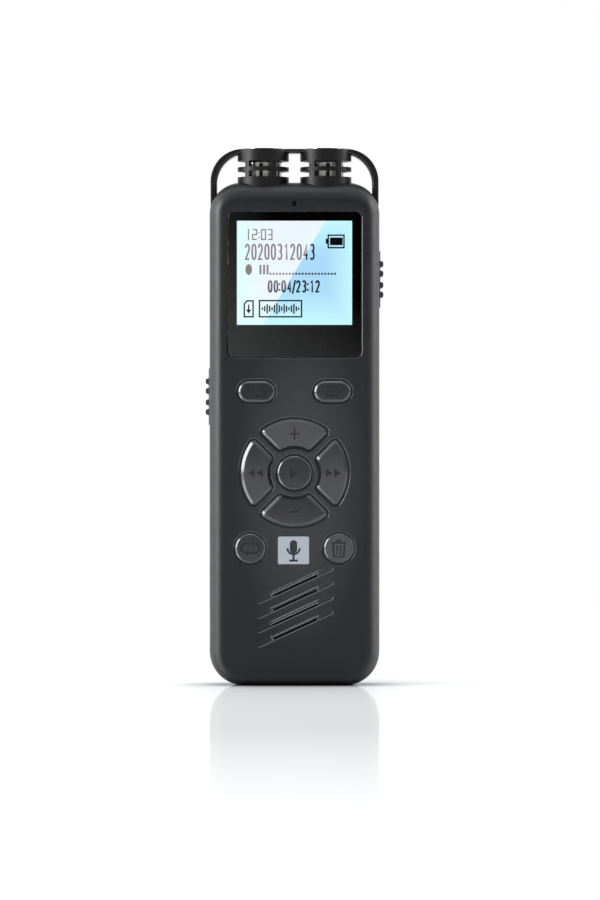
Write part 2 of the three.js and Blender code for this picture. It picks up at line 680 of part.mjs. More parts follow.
// The groove that the hoop lies in, across the tops of both towers.
function hoopGroove() {
  const half = HOOP.depth / 2 + FIT;
  const { halfWidth, top, radius } = HOOP_INSIDE;
  const under = hoopArch({ halfWidth: halfWidth - 0.05, top: top - 0.05, radius }, 90);
  return cut(
    block(-WIDTH / 2, WIDTH / 2, -half, half, top - radius, BARREL.top + 1),
    plate(under, -half - 1, half + 1, 0, 8),
  );
}

function micCapsule() {
  const rim = barZ(CAPSULE.radius, CAPSULE.bottom, CAPSULE.top, 0, 0, 24);
  const { radius, top, dish } = CAPSULE;
  return cut(rim, barZ(radius - CAPSULE.rim, top - dish, top + 1, 0, 0, 24));
}

function micBoot() {
  const plateTop = CAPSULE.bottom - 0.05;
  return join(
    barZ(BOOT.radius, BARREL_FLOOR.top + 0.05, plateTop, 0, 0, 20),
    barZ(BOOT.stem, BARREL.bottom + 0.3, BARREL_FLOOR.top + 0.2, 0, 0, 12),
  );
}

// A low domed cap with a stem that pins the hoop to its tower.
function micCap() {
  const { radius, height } = CAP;
  const ball = (radius * radius + height * height) / (2 * height);
  const spread = Math.asin(radius / ball);
  const profile = [new THREE.Vector2(0, 0), new THREE.Vector2(radius, 0)];
  const steps = 5;
  for (let i = steps - 1; i > 0; i--) {
    const angle = (spread * i) / steps;
    profile.push(new THREE.Vector2(ball * Math.sin(angle), height - ball * (1 - Math.cos(angle))));
  }
  profile.push(new THREE.Vector2(0, height));
  const dome = new THREE.LatheGeometry(profile, 24).rotateX(Math.PI / 2).translate(0, 0, BARREL.top + 0.05);
  return join(solidOf(dome), barZ(CAP.stem, CAP.stemBottom, BARREL.top + 0.4, 0, 0, 12));
}

function hoopArch({ halfWidth, top, radius }, bottom) {
  const shape = new THREE.Shape();
  shape.moveTo(halfWidth, bottom);
  shape.lineTo(halfWidth, top - radius);
  shape.absarc(halfWidth - radius, top - radius, radius, 0, Math.PI / 2, false);
  shape.absarc(-halfWidth + radius, top - radius, radius, Math.PI / 2, Math.PI, false);
  shape.lineTo(-halfWidth, bottom);
  shape.closePath();
  return shape;
}

// The hoop: a strip bent over both towers, ended where it meets the casing's shoulders,
// with a tab at each end that goes down inside the casing.
function micHoop() {
  const half = HOOP.depth / 2;
  const tab = block(
    TAB.inner, TAB.outer, -TAB.halfDepth, TAB.halfDepth, TAB.bottom, TAB.top,
  );
  const strip = cut(
    plate(hoopArch(HOOP, 95), -half, half, 0, 8),
    plate(hoopArch(HOOP_INSIDE, 90), -half - 1, half + 1, 0, 8),
    slab(0.1, FRONT - 0.1, BACK + 0.1, EDGE, 8, 5),
    barZ(CAP.stem + FIT, HOOP_INSIDE.top - 1, HOOP.top + 1, -MIC_X, 0, 12),
    barZ(CAP.stem + FIT, HOOP_INSIDE.top - 1, HOOP.top + 1, MIC_X, 0, 12),
  );
  return join(strip, tab, tab.mirror([1, 0, 0]));
}

// ---------------------------------------------------------------- loudspeaker

function speakerFrame() {
  const { width, height, z, front, back, wall } = SPEAKER;
  return cut(
    plate(roundedRectangle(width, height, 1, 0, z), front, back, 0, 3),
    plate(roundedRectangle(width - 2 * wall, height - 2 * wall, 0.6, 0, z), front - 1, back - 0.4, 0, 3),
  );
}

function speakerCone() {
  const { width, height, z, front, wall } = SPEAKER;
  const w = width - 2 * wall - 0.2;
  const h = height - 2 * wall - 0.2;
  return join(
    plate(roundedRectangle(w, h, w * 0.4, 0, z), front + 0.35, front + 0.6, 0, 4),
    plate(roundedRectangle(w * 0.55, h * 0.65, w * 0.25, 0, z), front + 0.05, front + 0.5, 0.2, 3),
  );
}

function speakerMagnet() {
  const { z, front, back } = SPEAKER;
  return barY(MAGNET_RADIUS, front + 0.8, back - 0.5, 0, z, 24);
}

function speakerGasket() {
  const { width, height, z, front } = SPEAKER;
  const opening = roundedRectangle(width - 2 * GASKET_WALL, height - 2 * GASKET_WALL, 0.6, 0, z);
  return cut(
    plate(roundedRectangle(width, height, 1, 0, z), FRONT_INNER + 0.4, front - FIT, 0, 3),
    plate(opening, FRONT, front + 1, 0, 3),
  );
}

function speakerMesh() {
  const { width, height, z } = SPEAKER;
  return plate(roundedRectangle(width, height + 0.6, 1, 0, z), FRONT_INNER + 0.1, FRONT_INNER + 0.3, 0, 3);
}

// ---------------------------------------------------------------- board and electronics

// The notch that the board has at a screw column, open to the side.
function boardNotch([x, z]) {
  const reach = BOSS.column + 0.2;
  const round = barY(reach, -DEPTH, DEPTH, x, z, 16);
  const [x0, x1] = x < 0 ? [-WIDTH, x] : [x, WIDTH];
  return join(round, block(x0, x1, -DEPTH, DEPTH, z - reach, z + reach));
}

function circuitBoard() {
  const { inner, outer, z, half } = JACK;
  return cut(
    plate(casingShape(BOARD.grow, 5), BOARD.front, BOARD.back),
    block(-WIDTH, WIDTH, -DEPTH, DEPTH, BOARD.top, HEIGHT),
    block(inner - 0.2, outer + 2, -DEPTH, DEPTH, z - half - 0.2, z + half + 0.2),
    ...SCREWS.map(boardNotch),
  );
}

function usbSocket() {
  const { width, front, back, bottom, top, wall } = USB;
  const half = width / 2;
  const shell = cut(
    block(-half, half, front, back, bottom, top),
    block(-half + wall, half - wall, front + wall, back - wall, bottom - 1, top - 2 * wall),
  );
  const tongue = USB_TONGUE;
  const halfTongue = tongue.width / 2;
  return join(
    shell,
    block(-halfTongue, halfTongue, tongue.front, tongue.back, tongue.bottom, tongue.top),
  );
}

function headphoneJack() {
  const { y, z, half, inner, outer, collar, bore } = JACK;
  return cut(
    join(
      block(inner, outer, y - half, y + half, z - half, z + half),
      barX(collar, outer - 0.1, WIDTH / 2 - 0.15, y, z),
    ),
    barX(bore, inner + 1, WIDTH / 2 + 1, y, z),
  );
}

function cardSocket() {
  const { bottom, top, inner, outer, front, back } = CARD;
  return cut(
    block(outer, inner, front, back, bottom, top),
    block(
      outer - 1, inner - CARD_WALL.inner,
      front + CARD_WALL.face, back - CARD_WALL.face,
      bottom + CARD_WALL.end, top - CARD_WALL.end,
    ),
  );
}

// A flat pack on the back of the board.
function chip(x, z, width, height, thickness) {
  const front = BOARD.back + 0.05;
  return block(x - width / 2, x + width / 2, front, front + thickness, z - height / 2, z + height / 2);
}

function batteryCell() {
  const { width, bottom, top, front, back } = BATTERY;
  const shape = roundedRectangle(width, top - bottom, 0.8, 0, (top + bottom) / 2);
  return plate(shape, front, back, 0.5, 2);
}

// A wire of round section along a curve.
function wire(points, radius) {
  const curve = new THREE.CatmullRomCurve3(points.map((p) => new THREE.Vector3(...p)));
  const section = new THREE.Shape().absarc(0, 0, radius, 0, 2 * Math.PI, false);
  return solidOf(
    new THREE.ExtrudeGeometry(section, { extrudePath: curve, steps: 12, curveSegments: 4 }),
  );
}

// A lead from the top of the cell to the board, bent away from the middle on the way.
function batteryLead(x) {
  const path = LEAD.path.map(([spread, y, z]) => [x * spread, y, z]);
  return wire(path, LEAD.radius);
}

// ---------------------------------------------------------------- the assembly

const recorder = new THREE.Group();

function group() {
  const made = new THREE.Group();
  recorder.add(made);
  return made;
}

function add(parent, name, solid, material, position = [0, 0, 0]) {
  const mesh = new THREE.Mesh(geometryOf(solid), material);
  mesh.name = name;
  mesh.position.set(...position);
  parent.add(mesh);
  return mesh;
}

const casing = group();
add(casing, "front_shell", frontShell(), casingPlastic);
add(casing, "rear_shell", rearShell(), casingPlastic);
const screwNames = ["screw_bottom_left", "screw_bottom_right", "screw_upper_left", "screw_upper_right"];
add(casing, "front_badge", badge(), foil);
SCREWS.forEach(([x, z], i) => {
  add(casing, screwNames[i], screw(), plainSteel, [x, SCREW.seat, z]);
});

const display = group();
add(display, "display_window", displayWindow(), windowPlastic);
add(display, "lcd_panel", lcdPanel(), panelGlass);
add(display, "lcd_backlight", backlight(), whitePlastic);
add(display, "lcd_holder", displayHolder(), chipPlastic);
add(display, "lcd_ribbon", ribbon(RIBBON.path, RIBBON.thickness, RIBBON.width), amberFilm);
add(display, "ribbon_connector", ribbonConnector(), whitePlastic);

const keypad = group();
for (const [name, key] of Object.entries(KEYS)) {
  add(keypad, name, keyBody(key), keyPlastic, [key.x, 0, key.z]);
}
add(keypad, "keypad_mat", keyMat(), rubber);
add(keypad, "dome_sheet", domeSheet(), foil);

for (const [name, slider] of [["record", RECORD], ["power", POWER]]) {
  const sliders = group();
  sliders.position.z = slider.z;
  add(sliders, `${name}_slider`, sliderKnob(slider), keyPlastic);
  add(sliders, `${name}_switch_lever`, switchLever(slider), whitePlastic);
  add(sliders, `${name}_switch`, switchBody(slider), plainSteel);
}

for (const [side, x, turn] of [["left", -MIC_X, LEFT_MIC_TURN], ["right", MIC_X, 0]]) {
  const tower = group();
  tower.position.x = x;
  const barrel = cut(micBarrel().rotate([0, 0, turn]), hoopGroove().translate([-x, 0, 0]));
  add(tower, `${side}_mic_barrel`, barrel, micPlastic);
  add(tower, `${side}_mic_capsule`, micCapsule(), polishedSteel);
  add(tower, `${side}_mic_boot`, micBoot(), rubber);
  add(tower, `${side}_mic_cap`, micCap(), polishedSteel);
}
add(group(), "mic_hoop", micHoop(), hoopMetal);

const speaker = group();
add(speaker, "speaker_frame", speakerFrame(), plainSteel);
add(speaker, "speaker_cone", speakerCone(), chipPlastic);
add(speaker, "speaker_magnet", speakerMagnet(), plainSteel);
add(speaker, "speaker_gasket", speakerGasket(), rubber);
add(speaker, "speaker_mesh", speakerMesh(), meshMetal);

const electronics = group();
add(electronics, "circuit_board", circuitBoard(), boardGreen);
add(electronics, "usb_socket", usbSocket(), plainSteel);
add(electronics, "headphone_jack", headphoneJack(), chipPlastic);
add(electronics, "card_socket", cardSocket(), plainSteel);
add(electronics, "processor_chip", chip(0, 92.5, 9, 9, 1), chipPlastic);
add(electronics, "memory_chip", chip(5, 80.2, 9, 10.5, 1), chipPlastic);
add(electronics, "clock_crystal", chip(7.6, 91, 3.2, 1.6, 0.8), plainSteel);
add(electronics, "status_led", block(-0.8, 0.8, -2.35, BOARD.front - 0.05, 98.2, 99.2), whitePlastic);
add(electronics, "light_pipe", barY(LIGHT.radius, FRONT + 0.05, -2.45, 0, LIGHT.z, 12), chipPlastic);
add(electronics, "battery_cell", batteryCell(), foil);
add(
  electronics,
  "battery_pad",
  block(-9, 9, BATTERY.back + 0.05, BACK_INNER - 0.05, 15, 50),
  rubber,
);
add(electronics, "battery_lead_red", batteryLead(-1), redWire);
add(electronics, "battery_lead_black", batteryLead(1), rubber);

export default recorder;
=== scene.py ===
import json
import math

import bmesh
import bpy
import numpy as np
from mathutils import Matrix, Vector


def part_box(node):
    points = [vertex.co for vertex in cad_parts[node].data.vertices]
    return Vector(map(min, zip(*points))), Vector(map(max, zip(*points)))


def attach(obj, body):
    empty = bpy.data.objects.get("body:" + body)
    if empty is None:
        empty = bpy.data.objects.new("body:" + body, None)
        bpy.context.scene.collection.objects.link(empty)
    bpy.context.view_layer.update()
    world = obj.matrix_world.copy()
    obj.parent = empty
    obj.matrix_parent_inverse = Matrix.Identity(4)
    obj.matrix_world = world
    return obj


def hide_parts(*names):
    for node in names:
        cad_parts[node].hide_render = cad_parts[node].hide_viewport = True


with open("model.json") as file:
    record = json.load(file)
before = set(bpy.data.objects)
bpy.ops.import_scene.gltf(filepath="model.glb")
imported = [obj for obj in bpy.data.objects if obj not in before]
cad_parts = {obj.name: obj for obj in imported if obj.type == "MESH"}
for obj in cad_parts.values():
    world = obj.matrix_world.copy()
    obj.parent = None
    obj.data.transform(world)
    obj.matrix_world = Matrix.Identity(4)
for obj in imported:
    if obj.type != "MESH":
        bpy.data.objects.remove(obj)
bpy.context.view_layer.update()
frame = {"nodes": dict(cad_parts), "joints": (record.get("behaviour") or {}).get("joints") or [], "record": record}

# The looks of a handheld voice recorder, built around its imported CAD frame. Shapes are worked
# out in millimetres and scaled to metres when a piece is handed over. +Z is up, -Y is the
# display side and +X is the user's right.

MM = 0.001


class Box:
    """The space that a CAD node takes up, in millimetres."""

    def __init__(self, node):
        low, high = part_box(node)
        self.low, self.high = low / MM, high / MM
        self.centre = (self.low + self.high) / 2
        self.size = self.high - self.low

    def outline(self, corner):
        """Its front outline with round corners, as a function of how far it is grown."""
        return growing_box(self.size.x, self.size.z, corner, self.centre.x, self.centre.z)


# ---- driving dimensions, in mm

WIDTH = Box("front_shell").size.x
HEIGHT = Box("front_shell").high.z
FRONT = Box("front_shell").low.y
BACK = Box("rear_shell").high.y
SIDE = WIDTH / 2

# The casing's corners in the front view, and how far its front and back edges roll over.
TOP_CORNER = 6.6
BOTTOM_CORNER = 7.0
EDGE_INSET = {"side": 3.0, "top": 4.5, "bottom": 2.4}
EDGE_DEPTH = {"side": 4.5, "top": 4.5, "bottom": 3.0}
CAVITY_INSET = {"side": 1.8, "top": 2.8, "bottom": 1.4}
CAVITY_DEPTH = {"side": 2.6, "top": 2.6, "bottom": 2.2}
SIDE_WALL = 1.5
INNER_FRONT = FRONT + 1.6
INNER_BACK = BACK - 1.4
PARTING = 0.05
PARTING_CHAMFER = 0.12
LIP_OUTSIDE = 0.8
LIP_INSIDE = 1.45

# Screws: radii of the bosses, columns, bores and head recesses.
BOSS_RADIUS = 1.9
COLUMN_RADIUS = 2.2
FRONT_BORE = 0.85
REAR_BORE = 0.95
HEAD_RECESS = 1.75
HEAD_HEIGHT = 0.9

# The window, the part of it that the display shows through, and the badge.
WINDOW_CORNER = 1.2
WINDOW_GAP = 0.1
WINDOW_LIP = 0.26
VIEW_SIDE = 11.83
VIEW_BOTTOM = 74.1
VIEW_TOP = 95.5
VIEW_CORNER = 0.1
BADGE_CORNER = 0.35

# The status light's hole, and how far its lens lies inside it.
LIGHT_HOLE = 0.52
LIGHT_DEPTH = 0.9

# Keys: a rolled rim round a slightly crowned top, in a hole with a rounded lip. Each has a
# kind, and an angle in degrees by which its face leans back; a negative one leans forward.
KEYS = {
    "back_button": ("pill", 0.9), "menu_button": ("pill", 0.2),
    "volume_up_button": ("quarter", -2.0), "rewind_button": ("quarter", -0.6),
    "volume_down_button": ("quarter", 0.4), "forward_button": ("quarter", -0.9),
    "play_button": ("disc", 0.2), "repeat_button": ("disc", 0.8),
    "delete_button": ("disc", -2.2),
}
QUARTER_TURNS = {"volume_up_button": 0, "rewind_button": 90, "volume_down_button": 180,
                 "forward_button": 270}
# How wide and deep each kind of key's rim rolls, and how round it is.
RIMS = {"pill": (0.55, 0.42, 1.2), "quarter": (0.76, 0.54, 1.06), "disc": (0.4, 0.34, 1.2)}
FLANGE_REACH = 0.5
FLANGE_THICKNESS = 0.5
FLANGE_GAP = 0.12
KEY_CLEARANCE = 0.2
HOLE_LIP = 0.3
CROWN_RADIUS = 350.0
CROWN_GRID = 0.9
ICON_DEPTH = 0.09
ICON_REACH = 8.0
RING_OUTER = 11.1
RING_INNER = 5.2
RING_HALF_WEB = 0.85
RING_CORNER = 0.9
INNER_RIM_SHARE = 0.5
PLUNGER_RADIUS = 1.2
PLUNGER_REACH = 8.3

# Speaker slots: each slants, and slopes in to its lower edge. The mesh lies behind them.
SLOT_COUNT = 4
SLOT_LENGTH = 17.2
SLOT_WIDTH = 1.2
SLOT_PITCH = 2.98
SLOT_TOP = 20.9
SLOT_ANGLE = 24.7
SLOT_OPENING = 10.06
SLOT_LIP = 0.21
SLOT_DEPTH = 0.3
SLIT_WIDTH = 0.42
SLIT_LENGTH = 9.8
SLIT_DROP = -0.41
MESH_FRONT = -6.25
MESH_THICKNESS = 0.15
MESH_PITCH = 0.5
MESH_HOLE = 0.2
MESH_CELLS = 38
CLOTH_GAP = 0.03
CLOTH_THICKNESS = 0.1

# Microphone towers and the hoop over them.
TOWER_RADIUS = 5.3
TOWER_BORE = 4.3
TOWER_FOOT = 99.9
TOWER_ROWS = [(104.7, 105.9), (106.75, 108.0)]
LOWER_BORE_TOP = 102.2
UPPER_BORE_FOOT = 103.3
RIB_ANGLE = 32
RIB_HALF_ANGLE = 5.5
LEFT_TOWER_TURN = -7
CAPSULE_GROOVE = {"width": 0.8, "depth": 0.4, "step": 36, "turn": {"left": 11, "right": 25}}
HOOP = {"half": 17.33, "top": 110.5, "radius": 6.7}
HOOP_INSIDE = {"half": 16.0, "top": 109.62, "radius": 6.4}
HOOP_DEPTH = 5.0
TAB = {"inner": 16.1, "outer": 16.8, "half": 2, "bottom": 96, "top": 102}
CAP_WALL = 0.1
CAP_STEM = 1.0
STEM_HOLE = 1.1

# Side sliders.
RIB_PLACES = (-3.15, -1.175, 1.175, 3.15)
RIB_HEIGHT = 0.62

# Looks: where a painted highlight lightens the middle of the casing's face, and the line across
# the display where its painted glare ends, as two points in X and Z.
HIGHLIGHT_CENTRE = (1.5, -7.0, 42.0)
HIGHLIGHT_REACH = (14.0, 6.0, 36.0)
HIGHLIGHT_COLOR = (0.0305, 0.0315, 0.038)
GLARE_TOP = (6.4, VIEW_TOP)
GLARE_BOTTOM = (-6.49, VIEW_BOTTOM)
SHARP_ANGLE = 35.0

# Each light's place, the point it is aimed at, its width and height, and its radiance.
LIGHTS = {
    "left_softbox": ((-640, 40, 250), (0, 0, 90), 560, 560, 2.0),
    "left_strip": ((-585, -205, 260), (0, 0, 50), 300, 430, 8.8),
    "right_softbox": ((640, 120, 230), (0, 0, 90), 460, 540, 2.5),
    "right_strip": ((600, 40, 380), (0, 0, 50), 90, 220, 9.0),
    "top_strip": ((0, -60, 640), (0, 0, 50), 300, 60, 2.6),
}
# Brightness of the light all round: from the front, the back and above, and of a faint veil
# straight ahead of the window.
WORLD_FRONT = 0.0
WORLD_BACK = 1.0
WORLD_TOP = 0.62
VEIL = 0.7
VEIL_TOWARDS = (-0.001, -1, 0.034)
CAMERA_PLACE = (1.13, -1007.0, 48.4)
CAMERA_LENS = 194.9
CAMERA_SENSOR = 36.0


# ---- outlines in X and Z

def arc(x, z, radius, start, end, steps):
    """Points on an arc between two angles in degrees, both ends included."""
    angles = np.radians(np.linspace(start, end, steps + 1))
    return np.column_stack((x + radius * np.cos(angles), z + radius * np.sin(angles)))


def circle(radius, x=0.0, z=0.0, steps=72):
    return arc(x, z, radius, 0, 360, steps)[:-1]


def stadium(length, width, steps=18):
    centre = (length - width) / 2
    right = arc(centre, 0, width / 2, -90, 90, steps)
    left = arc(-centre, 0, width / 2, 90, 270, steps)
    return np.vstack((right, left))


def rounded_box(width, height, radius, x=0.0, z=0.0, steps=8):
    right, left = x + width / 2 - radius, x - width / 2 + radius
    top, bottom = z + height / 2 - radius, z - height / 2 + radius
    return np.vstack((
        arc(right, bottom, radius, -90, 0, steps),
        arc(right, top, radius, 0, 90, steps),
        arc(left, top, radius, 90, 180, steps),
        arc(left, bottom, radius, 180, 270, steps),
    ))


def growing_box(width, height, radius, x=0.0, z=0.0):
    """A rounded box as a function of how far it is grown."""
    return lambda grow: rounded_box(width + 2 * grow, height + 2 * grow, radius + grow, x, z)


def growing_disc(radius, x=0.0, z=0.0, steps=72):
    return lambda grow: circle(radius + grow, x, z, steps)


def view_outline(steps=8):
    return rounded_box(2 * VIEW_SIDE, VIEW_TOP - VIEW_BOTTOM, VIEW_CORNER, 0,
                       (VIEW_TOP + VIEW_BOTTOM) / 2, steps)


def quadrant(grow, turn):
    """One quarter of the key ring, with rounded corners and sides along the diagonals. Its rim
    is narrower along the inner arc than along the outer one."""
    outer_steps, corner_steps = 40, 10
    corner = RING_CORNER + grow
    inner_grow = grow if grow > 0 else INNER_RIM_SHARE * grow
    offset = RING_HALF_WEB + RING_CORNER

    def corner_centre(radius):
        along = math.sqrt(radius * radius - offset * offset)
        return (along - offset) * math.sqrt(0.5), (along + offset) * math.sqrt(0.5)

    ox, oz = corner_centre(RING_OUTER - RING_CORNER)
    ix, iz = corner_centre(RING_INNER + RING_CORNER)
    outer = math.degrees(math.atan2(oz, ox))
    inner = math.degrees(math.atan2(iz, ix))
    points = np.vstack((
        arc(0, 0, RING_OUTER + grow, outer, 180 - outer, outer_steps),
        arc(-ox, oz, corner, 180 - outer, 225, corner_steps)[1:],
        arc(-ix, iz, corner, 225, 360 - inner, corner_steps),
        arc(0, 0, RING_INNER - inner_grow, 180 - inner, inner, outer_steps // 2)[1:],
        arc(ix, iz, corner, 180 + inner, 315, corner_steps)[1:],
        arc(ox, oz, corner, -45, outer, corner_steps)[:-1],
    ))
    return turned(points, turn)


def turned(points, degrees):
    """2-D points turned anticlockwise about the origin, as seen from the front."""
    angle = math.radians(degrees)
    turn = np.array([[math.cos(angle), math.sin(angle)], [-math.sin(angle), math.cos(angle)]])
    return np.asarray(points, float) @ turn


def bar(x0, z0, x1, z1, width):
    """A straight stroke between two points."""
    along = np.array([x1 - x0, z1 - z0], float)
    along /= np.linalg.norm(along)
    side = np.array([-along[1], along[0]]) * width / 2
    start, end = np.array([x0, z0]), np.array([x1, z1])
    return np.array([start - side, end - side, end + side, start + side])


def arc_band(x, z, radius, width, start, end, steps=20):
    """A curved stroke along an arc."""
    outer = arc(x, z, radius + width / 2, start, end, steps)
    inner = arc(x, z, radius - width / 2, end, start, steps)
    return np.vstack((outer, inner))


def triangle(x, z, width, height, turn=0):
    """A pointer to the right, or turned."""
    corners = [(-width / 2, -height / 2), (width / 2, 0), (-width / 2, height / 2)]
    return turned(corners, turn) + (x, z)


# ---- solids

def mesh_object(vertices, faces):
    mesh = bpy.data.meshes.new("solid")
    mesh.from_pydata([tuple(v) for v in vertices], [], faces)
    obj = bpy.data.objects.new("solid", mesh)
    bpy.context.scene.collection.objects.link(obj)
    return obj


def loft(rings):
    """A closed solid from front to back through rings that run anticlockwise seen from -Y."""
    count = len(rings[0])
    faces = [list(range(count))]
    for k in range(len(rings) - 1):
        for i in range(count):
            a = k * count + i
            b = k * count + (i + 1) % count
            faces.append((a, a + count, b + count, b))
    last = (len(rings) - 1) * count
    faces.append([last + i for i in reversed(range(count))])
    return mesh_object([p for ring in rings for p in ring], faces)


def at_depth(points, y):
    """2-D outline points as a ring at one depth."""
    return [(x, y, z) for x, z in points]


def plate(points, y0, y1):
    return loft([at_depth(points, y0), at_depth(points, y1)])


def rolled(width, height, steps, roundness=2.0):
    """Rim profile as pairs of inset and depth, from the face round to the side. A roundness
    of 2 is an arc, and one nearer 1 is flatter in the middle, like a chamfer."""
    turns = np.linspace(0, math.pi / 2, steps + 1)
    power = 2 / roundness
    return [(width * (1 - math.sin(t) ** power), height * (1 - abs(math.cos(t)) ** power))
            for t in turns]


def cushion(outline, front, back, rim_width, rim_height, steps=8, back_rim=0.0, roundness=2.0):
    """A solid with a rolled front rim; outline(grow) gives its outline grown by an amount."""
    profile = rolled(rim_width, rim_height, steps, roundness)
    rings = [at_depth(outline(-inset), front + depth) for inset, depth in profile]
    rings.append(at_depth(outline(0), back - back_rim))
    if back_rim:
        rings.append(at_depth(outline(-back_rim), back))
    return loft(rings)


def hole(outline, face, floor, clearance=0.0, lip=HOLE_LIP):
    """A cutter for a recess whose mouth has a rounded lip."""
    above, steps = 0.6, 6
    rings = [at_depth(outline(clearance + lip), face - above)]
    for inset, depth in rolled(lip, lip, steps):
        rings.append(at_depth(outline(clearance + inset), face + depth))
    rings.append(at_depth(outline(clearance), floor))
    return loft(rings)


def lathe(profile, segments=96):
    """A solid turned about Z from (radius, height) points that run up the outside, starting
    and ending on the axis."""
    ring = np.radians(np.arange(segments) * 360 / segments)
    vertices = []
    starts = []
    for radius, z in profile:
        starts.append(len(vertices))
        if radius == 0:
            vertices.append((0, 0, z))
        else:
            vertices += [(radius * math.cos(a), radius * math.sin(a), z) for a in ring]
    faces = []
    for k in range(len(profile) - 1):
        a, b = starts[k], starts[k + 1]
        for i in range(segments):
            j = (i + 1) % segments
            if profile[k][0] == 0:
                faces.append((a, b + j, b + i))
            elif profile[k + 1][0] == 0:
                faces.append((a + i, a + j, b))
            else:
                faces.append((a + i, a + j, b + j, b + i))
    return mesh_object(vertices, faces)


def moved(obj, offset=(0, 0, 0), turn=0.0, axis="Z"):
    """Turns a solid's mesh about an axis through the origin, then shifts it."""
    turning = Matrix.Rotation(math.radians(turn), 4, axis)
    obj.data.transform(Matrix.Translation(offset) @ turning)
    return obj


def combined(target, tools, operation="DIFFERENCE"):
    """Cuts or joins solids one after another, and removes the tools."""
    for tool in tools:
        modifier = target.modifiers.new(tool.name, "BOOLEAN")
        modifier.operation = operation
        modifier.solver = "MANIFOLD"
        modifier.object = tool
    with_modifiers_applied(target)
    for tool in tools:
        mesh = tool.data
        bpy.data.objects.remove(tool)
        bpy.data.meshes.remove(mesh)
    return target


def cut(target, *tools):
    return combined(target, tools)


def join(target, *tools):
    return combined(target, tools, "UNION")


def with_modifiers_applied(obj):
    graph = bpy.context.evaluated_depsgraph_get()
    mesh = bpy.data.meshes.new_from_object(obj.evaluated_get(graph))
    obj.modifiers.clear()
    if not any(mesh.materials):
        mesh.materials.clear()
    old = obj.data
    obj.data = mesh
    bpy.data.meshes.remove(old)


def painted(solid, finishes, index=0):
    """Gives a solid's material slots their finishes, and all its faces one of them."""
    for finish in finishes:
        solid.data.materials.append(finish)
    for face in solid.data.polygons:
        face.material_index = index
    return solid


def block(x0, x1, y0, y1, z0, z1):
    return plate([(x0, z0), (x1, z0), (x1, z1), (x0, z1)], y0, y1)


def bar_along_y(radius, y0, y1, place, steps=32):
    return plate(circle(radius, place.x, place.z, steps), y0, y1)


def upright_bar(radius, x, z0, z1, steps=96):
    return moved(lathe([(0, z0), (radius, z0), (radius, z1), (0, z1)], steps), (x, 0, 0))


# ---- materials

class Graph:
    """The nodes of one material or world. Inputs are given as sockets or plain values."""

    def __init__(self, owner):
        owner.use_nodes = True
        self.owner, self.tree = owner, owner.node_tree
        self.shader = self.tree.nodes.get("Principled BSDF")

    def feed(self, node, inputs):
        for name, value in inputs.items():
            if isinstance(value, bpy.types.NodeSocket):
                self.tree.links.new(value, node.inputs[name])
            else:
                node.inputs[name].default_value = value

    def add(self, kind, inputs=None, **settings):
        node = self.tree.nodes.new("ShaderNode" + kind)
        for name, value in settings.items():
            setattr(node, name, value)
        self.feed(node, inputs or {})
        return node

    def place(self):
        """The shaded point in the object's own coordinates."""
        return self.add("TexCoord").outputs["Object"]

    def split(self, vector):
        return self.add("SeparateXYZ", {0: vector}).outputs

    def length(self, vector):
        return self.add("VectorMath", {0: vector}, operation="LENGTH").outputs["Value"]

    def noise(self, scale, detail=3.0):
        """A noise texture over the object's own coordinates; scale is features per metre."""
        texture = self.add("TexNoise", {"Scale": scale, "Detail": detail, "Roughness": 0.5,
                                        "Vector": self.place()})
        return texture.outputs["Fac"]

    def spread(self, value, low, high, start=0.3, end=0.7):
        """Maps a texture's middle range, or another range, onto low to high."""
        ramp = self.add("MapRange", {"Value": value, "From Min": start, "From Max": end,
                                     "To Min": low, "To Max": high})
        return ramp.outputs["Result"]

    def calc(self, operation, *values):
        return self.add("Math", dict(enumerate(values)), operation=operation).outputs[0]

    def blend(self, factor, first, second):
        """A colour between two, by a factor."""
        first, second = (
            (*color, 1) if isinstance(color, tuple) else color for color in (first, second))
        # A mix node's inputs 6 and 7 and its output 2 are its colours.
        mix = self.add("Mix", {"Factor": factor, 6: first, 7: second}, data_type="RGBA")
        return mix.outputs[2]

    def mix(self, factor, first, second):
        """A shader between two nodes' shaders, by a factor."""
        return self.add("MixShader", {0: factor, 1: first.outputs[0], 2: second.outputs[0]})


def new_material(name):
    return Graph(bpy.data.materials.new(name))


def moulded(name, color, roughness, metallic=0.0, specular=0.5, coat=0.0, grain=9000,
            grain_height=0.004, mottle=0.12, gloss_spread=0.05):
    """Plastic or metal with a fine surface grain, uneven gloss and faint colour variation.
    grain is features per metre, and grain_height is in millimetres."""
    patches_per_metre, gloss_per_metre = 70, 420
    graph = new_material(name)
    lighter = tuple(min(1.0, c * (1 + mottle)) for c in color)
    darker = tuple(c * (1 - mottle) for c in color)
    bump = graph.add("Bump", {"Strength": 1.0, "Distance": grain_height * MM,
                              "Height": graph.noise(grain, 2.0)})
    graph.feed(graph.shader, {
        "Metallic": metallic,
        "Specular IOR Level": specular,
        "Coat Weight": coat,
        "Coat Roughness": 0.1,
        "Base Color": graph.blend(graph.noise(patches_per_metre), darker, lighter),
        "Roughness": graph.spread(graph.noise(gloss_per_metre), roughness - gloss_spread,
                                  roughness + gloss_spread),
        "Normal": bump.outputs["Normal"],
    })
    return graph.owner


def painted_face_highlight(material):
    """Lightens the casing's colour a little towards the middle of its face: a painted highlight."""
    graph = Graph(material)
    plain = graph.shader.inputs["Base Color"].links[0].from_socket
    about = graph.add("Mapping", {
        "Vector": graph.place(), "Location": Vector(HIGHLIGHT_CENTRE) * MM,
        "Scale": Vector(HIGHLIGHT_REACH) * MM}, vector_type="TEXTURE")
    share = graph.spread(graph.length(about.outputs["Vector"]), 1, 0, 0.45, 1.0)
    graph.feed(graph.shader, {"Base Color": graph.blend(share, plain, HIGHLIGHT_COLOR)})
    return material


